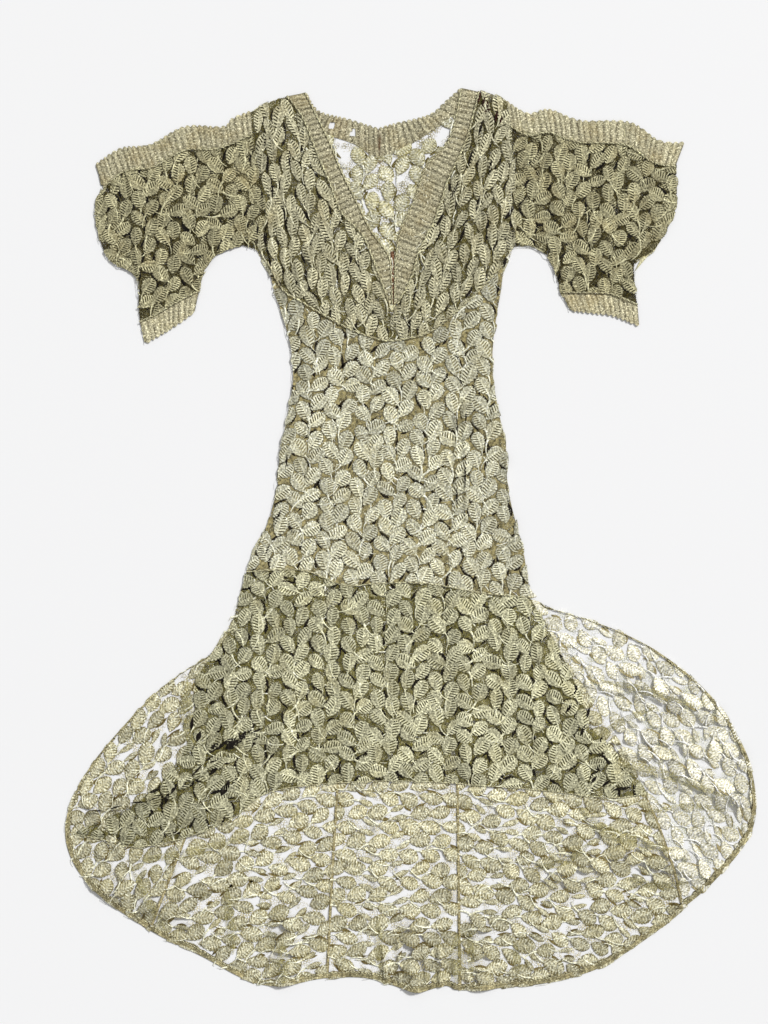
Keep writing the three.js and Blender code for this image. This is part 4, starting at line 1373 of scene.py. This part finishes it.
cut_lines |= {
    "neck edge left": [(-189, 805), (-149, 724), (-121, 658), (-94, 604), (-70, 556), (-39, 512),
        (-34, 470), (-32, 425)],
    "neck edge right": [(92, 812), (72, 724), (29, 672), (9, 615), (-16, 559), (-25, 512), (-27, 470),
        (-28, 425)],
}
NECK_RIBS = 41
for side in ("left", "right"):
    lines = f"neck seam {side}", f"neck edge {side}"
    made, net = edging(f"neck_edging_{side}", f"neck_band_{side}", *lines, NECK_RIBS, "front", fade=0.95)
    seam, edge = (cut(line, NECK_RIBS * RIB_STEPS) for line in lines)
    cords = [
        twisted_cord(f"neck_seam_cord_{side}", seam, "front", lift=1.2, radius=1.0, pitch=11),
        twisted_cord(f"neck_edge_cord_{side}", edge, "front", lift=0.4, radius=0.75, pitch=9),
    ]
    declare(net, strip=True)

facing_material = thread_material("slit_facing", (128, 92, 66), (64, 40, 26), (98, 66, 46))
slit_line = np.array([(-32, 520), (-31, 470), (-30, 425)], float)
welt("slit_facing", slit_line, width=7, lift=1.4, height=0.5, material=facing_material)


def wear_and_shadow_marks(name, spots, layer, material, lift):
    """Dark slits on the lace: real wear at the shoulder, and painted shadow along deep folds. Columns of
    spots: x, y, length, width, turn in degrees.
    """
    x, y, length, width, turn = np.array(spots, float).T
    sites = np.stack([x, y], axis=1)
    ring = 900.0 * np.array([(-1, -1), (1, -1), (1, 1), (-1, 1)])  # wider than the gown, trims nothing
    one = np.ones(len(x))
    points, faces, thread, tone = placed(shadow_and_wear_slit, slice(None), sites, np.radians(turn), length, width, one,
                                         one * GROUND[layer] + lift, one, ring, layer)
    made = piece(name, points, faces, [material], thread=thread, tone=tone)


wear_material = thread_material("worn_edge", (58, 24, 14), (40, 16, 10), (50, 20, 12))
wear_and_shadow_marks("shoulder_wear", [
    (124, 796, 24, 5, 78),
    (132, 788, 20, 4.4, 74),
    (139, 783, 14, 4, 85),
    (155, 762, 22, 4.6, 80),
    (163, 755, 15, 3.6, 72),
    (139, 772, 12, 6, 20),
], "front", wear_material, 2.2)

# Sleeve edgings
# The scalloped ribbed band along the open top of each sleeve, and the narrow ribbed cuff, in the
# same close cords as at the neck. A twisted cord covers the seam of each.

TOP_RIBS = 30
for side, cuff_ribs, top_fade in (("left", 10, 1.0), ("right", 14, 1.12)):
    for part, lines, ribs, fade in (
        ("sleeve_top", (f"sleeve band seam {side}", f"sleeve top {side}"), TOP_RIBS, top_fade),
        ("cuff", (f"cuff seam {side}", f"cuff edge {side}"), cuff_ribs, 1.2),
    ):
        node = f"{part}_band_{side}"
        made, net = edging(f"{part}_edging_{side}", node, *lines, ribs, "front", fade=fade)
        seam = cut(lines[0], ribs * RIB_STEPS)
        cord = twisted_cord(f"{part}_cord_{side}", seam, "front", lift=1.2, radius=0.85, pitch=10)
        declare(net, strip=True)

# Front seams
# The curved under-bust seam and the hip seam, each drawn in by a dark stitched cord, and the thin
# olive cord along the flounce's cut edge.

under_bust = joined(cut("under bust left", 60), cut("under bust right", 60))
twisted_cord("under_bust_stitching", under_bust, "front", lift=1.3, radius=0.9, pitch=13)
twisted_cord("hip_stitching", cut("front hip", 120), "front", lift=1.2, radius=0.65, pitch=12)
twisted_cord("flounce_edge_cord", cut("flounce hem", 240), "front", lift=0.1, radius=0.6, pitch=6,
             step=2.4)

# Dark slits along the deep folds and gathers of the front, in the flounce's gap colour: painted fold shadow.
wear_and_shadow_marks("front_fold_shadows", [
    (-324, -359, 26, 9, 20), (-351, -373, 18, 7, 40), (-328, -440, 22, 8, 75), (-277, -355, 14, 6, 30),
    (-423, -444, 22, 7, 60), (-459, -449, 18, 6, 20), (-419, -525, 16, 5, 0), (-304, -358, 30, 4, 48),
    (-352, -394, 34, 4.5, 22), (-382, -412, 34, 4, 48), (-455, -460, 30, 3.6, 28), (-276, -342, 28, 3.5, 22),
    (-488, -469, 32, 3.4, 4), (-528, -478, 26, 3, 16), (-560, -484, 28, 3, -2), (372, -446, 16, 5, 20),
    (337, -410, 18, 6, 70), (320, -309, 20, 6, 75), (297, -269, 20, 5, 70), (342, -359, 16, 5, 65),
    (-261, 541, 24, 5, 95), (-252, 501, 20, 5, 100), (-234, 460, 22, 5, 110), (-274, 559, 20, 4, 85),
    (184, 550, 22, 5, 88), (171, 501, 20, 5, 80), (158, 451, 18, 4.5, 78), (-261, 721, 30, 5, 92),
    (-256, 676, 34, 5, 88), (-248, 631, 30, 5, 95), (-225, 739, 30, 4.5, 97), (-216, 685, 34, 5, 92),
    (-266, 613, 30, 5, 90), (126, 739, 34, 4.5, 72), (108, 685, 36, 5, 75), (144, 667, 34, 5, 82),
    (81, 631, 30, 4.5, 66), (122, 604, 34, 5, 78), (54, 577, 30, 5, 62), (94, 550, 30, 5, 70),
    (84, 200, 46, 3.6, 90), (99, 120, 50, 3.6, 89), (84, 80, 30, 3.4, 92), (101, 230, 36, 3.6, 88),
    (-238, 40, 34, 4, 70), (-222, 140, 30, 3.6, 85), (-258, -20, 30, 4, 66), (178, 60, 34, 3.6, 98),
    (-318, -365, 30, 14, 30), (-300, -352, 22, 10, 60), (-345, -368, 24, 12, 10), (-334, -448, 24, 12, 60),
    (-312, -432, 20, 9, 100), (-352, -412, 26, 8, 50), (-400, -436, 24, 8, 40), (-380, -352, 20, 9, 70),
    (-392, -330, 26, 6, 84), (-436, -462, 22, 8, 70), (352, -436, 18, 5, 40),
    (330, -430, 18, 6, 50), (310, -340, 22, 6, 70), (285, -300, 22, 6, 60),
], "front", flounce_lace["gap"], 1.9)

# Floor, light and camera
# A plain white table, which the gown lies on. It is seen from straight above, in soft light from the
# upper right.

TABLE_HALF, TABLE_TOP = 6, -0.0006  # metres
signs = ((-1, -1), (1, -1), (1, 1), (-1, 1))
table_corners = [(TABLE_HALF * x, TABLE_HALF * y, TABLE_TOP) for x, y in signs]
floor_mesh = bpy.data.meshes.new("table")
floor_mesh.from_pydata(table_corners, [], [(0, 1, 2, 3)])
floor = bpy.data.objects.new("table", floor_mesh)
bpy.context.scene.collection.objects.link(floor)
floor_material = bpy.data.materials.new("white_table")
floor_material.use_nodes = True
floor_shader = floor_material.node_tree.nodes["Principled BSDF"]
floor_shader.inputs["Base Color"].default_value = (0.9, 0.9, 0.905, 1)
floor_shader.inputs["Roughness"].default_value = 0.7
floor_mesh.materials.append(floor_material)

world = bpy.data.worlds.new("soft_room")
world.use_nodes = True
world.node_tree.nodes["Background"].inputs["Color"].default_value = (1, 1, 1, 1)
world.node_tree.nodes["Background"].inputs["Strength"].default_value = 0.4
bpy.context.scene.world = world

sun_data = bpy.data.lights.new("window", "SUN")
sun_data.energy = 2.8
sun_data.angle = math.radians(10)
sun = bpy.data.objects.new("window", sun_data)
sun.rotation_euler = (math.radians(-32), math.radians(36), 0)
bpy.context.scene.collection.objects.link(sun)

camera_data = bpy.data.cameras.new("camera")
camera_data.lens = 54.7
camera_data.clip_end = 20
camera = bpy.data.objects.new("camera", camera_data)
camera.location = (-0.0468, 0.0513, 2.8)
bpy.context.scene.collection.objects.link(camera)
bpy.context.scene.camera = camera
bpy.context.scene.view_settings.view_transform = "Standard"
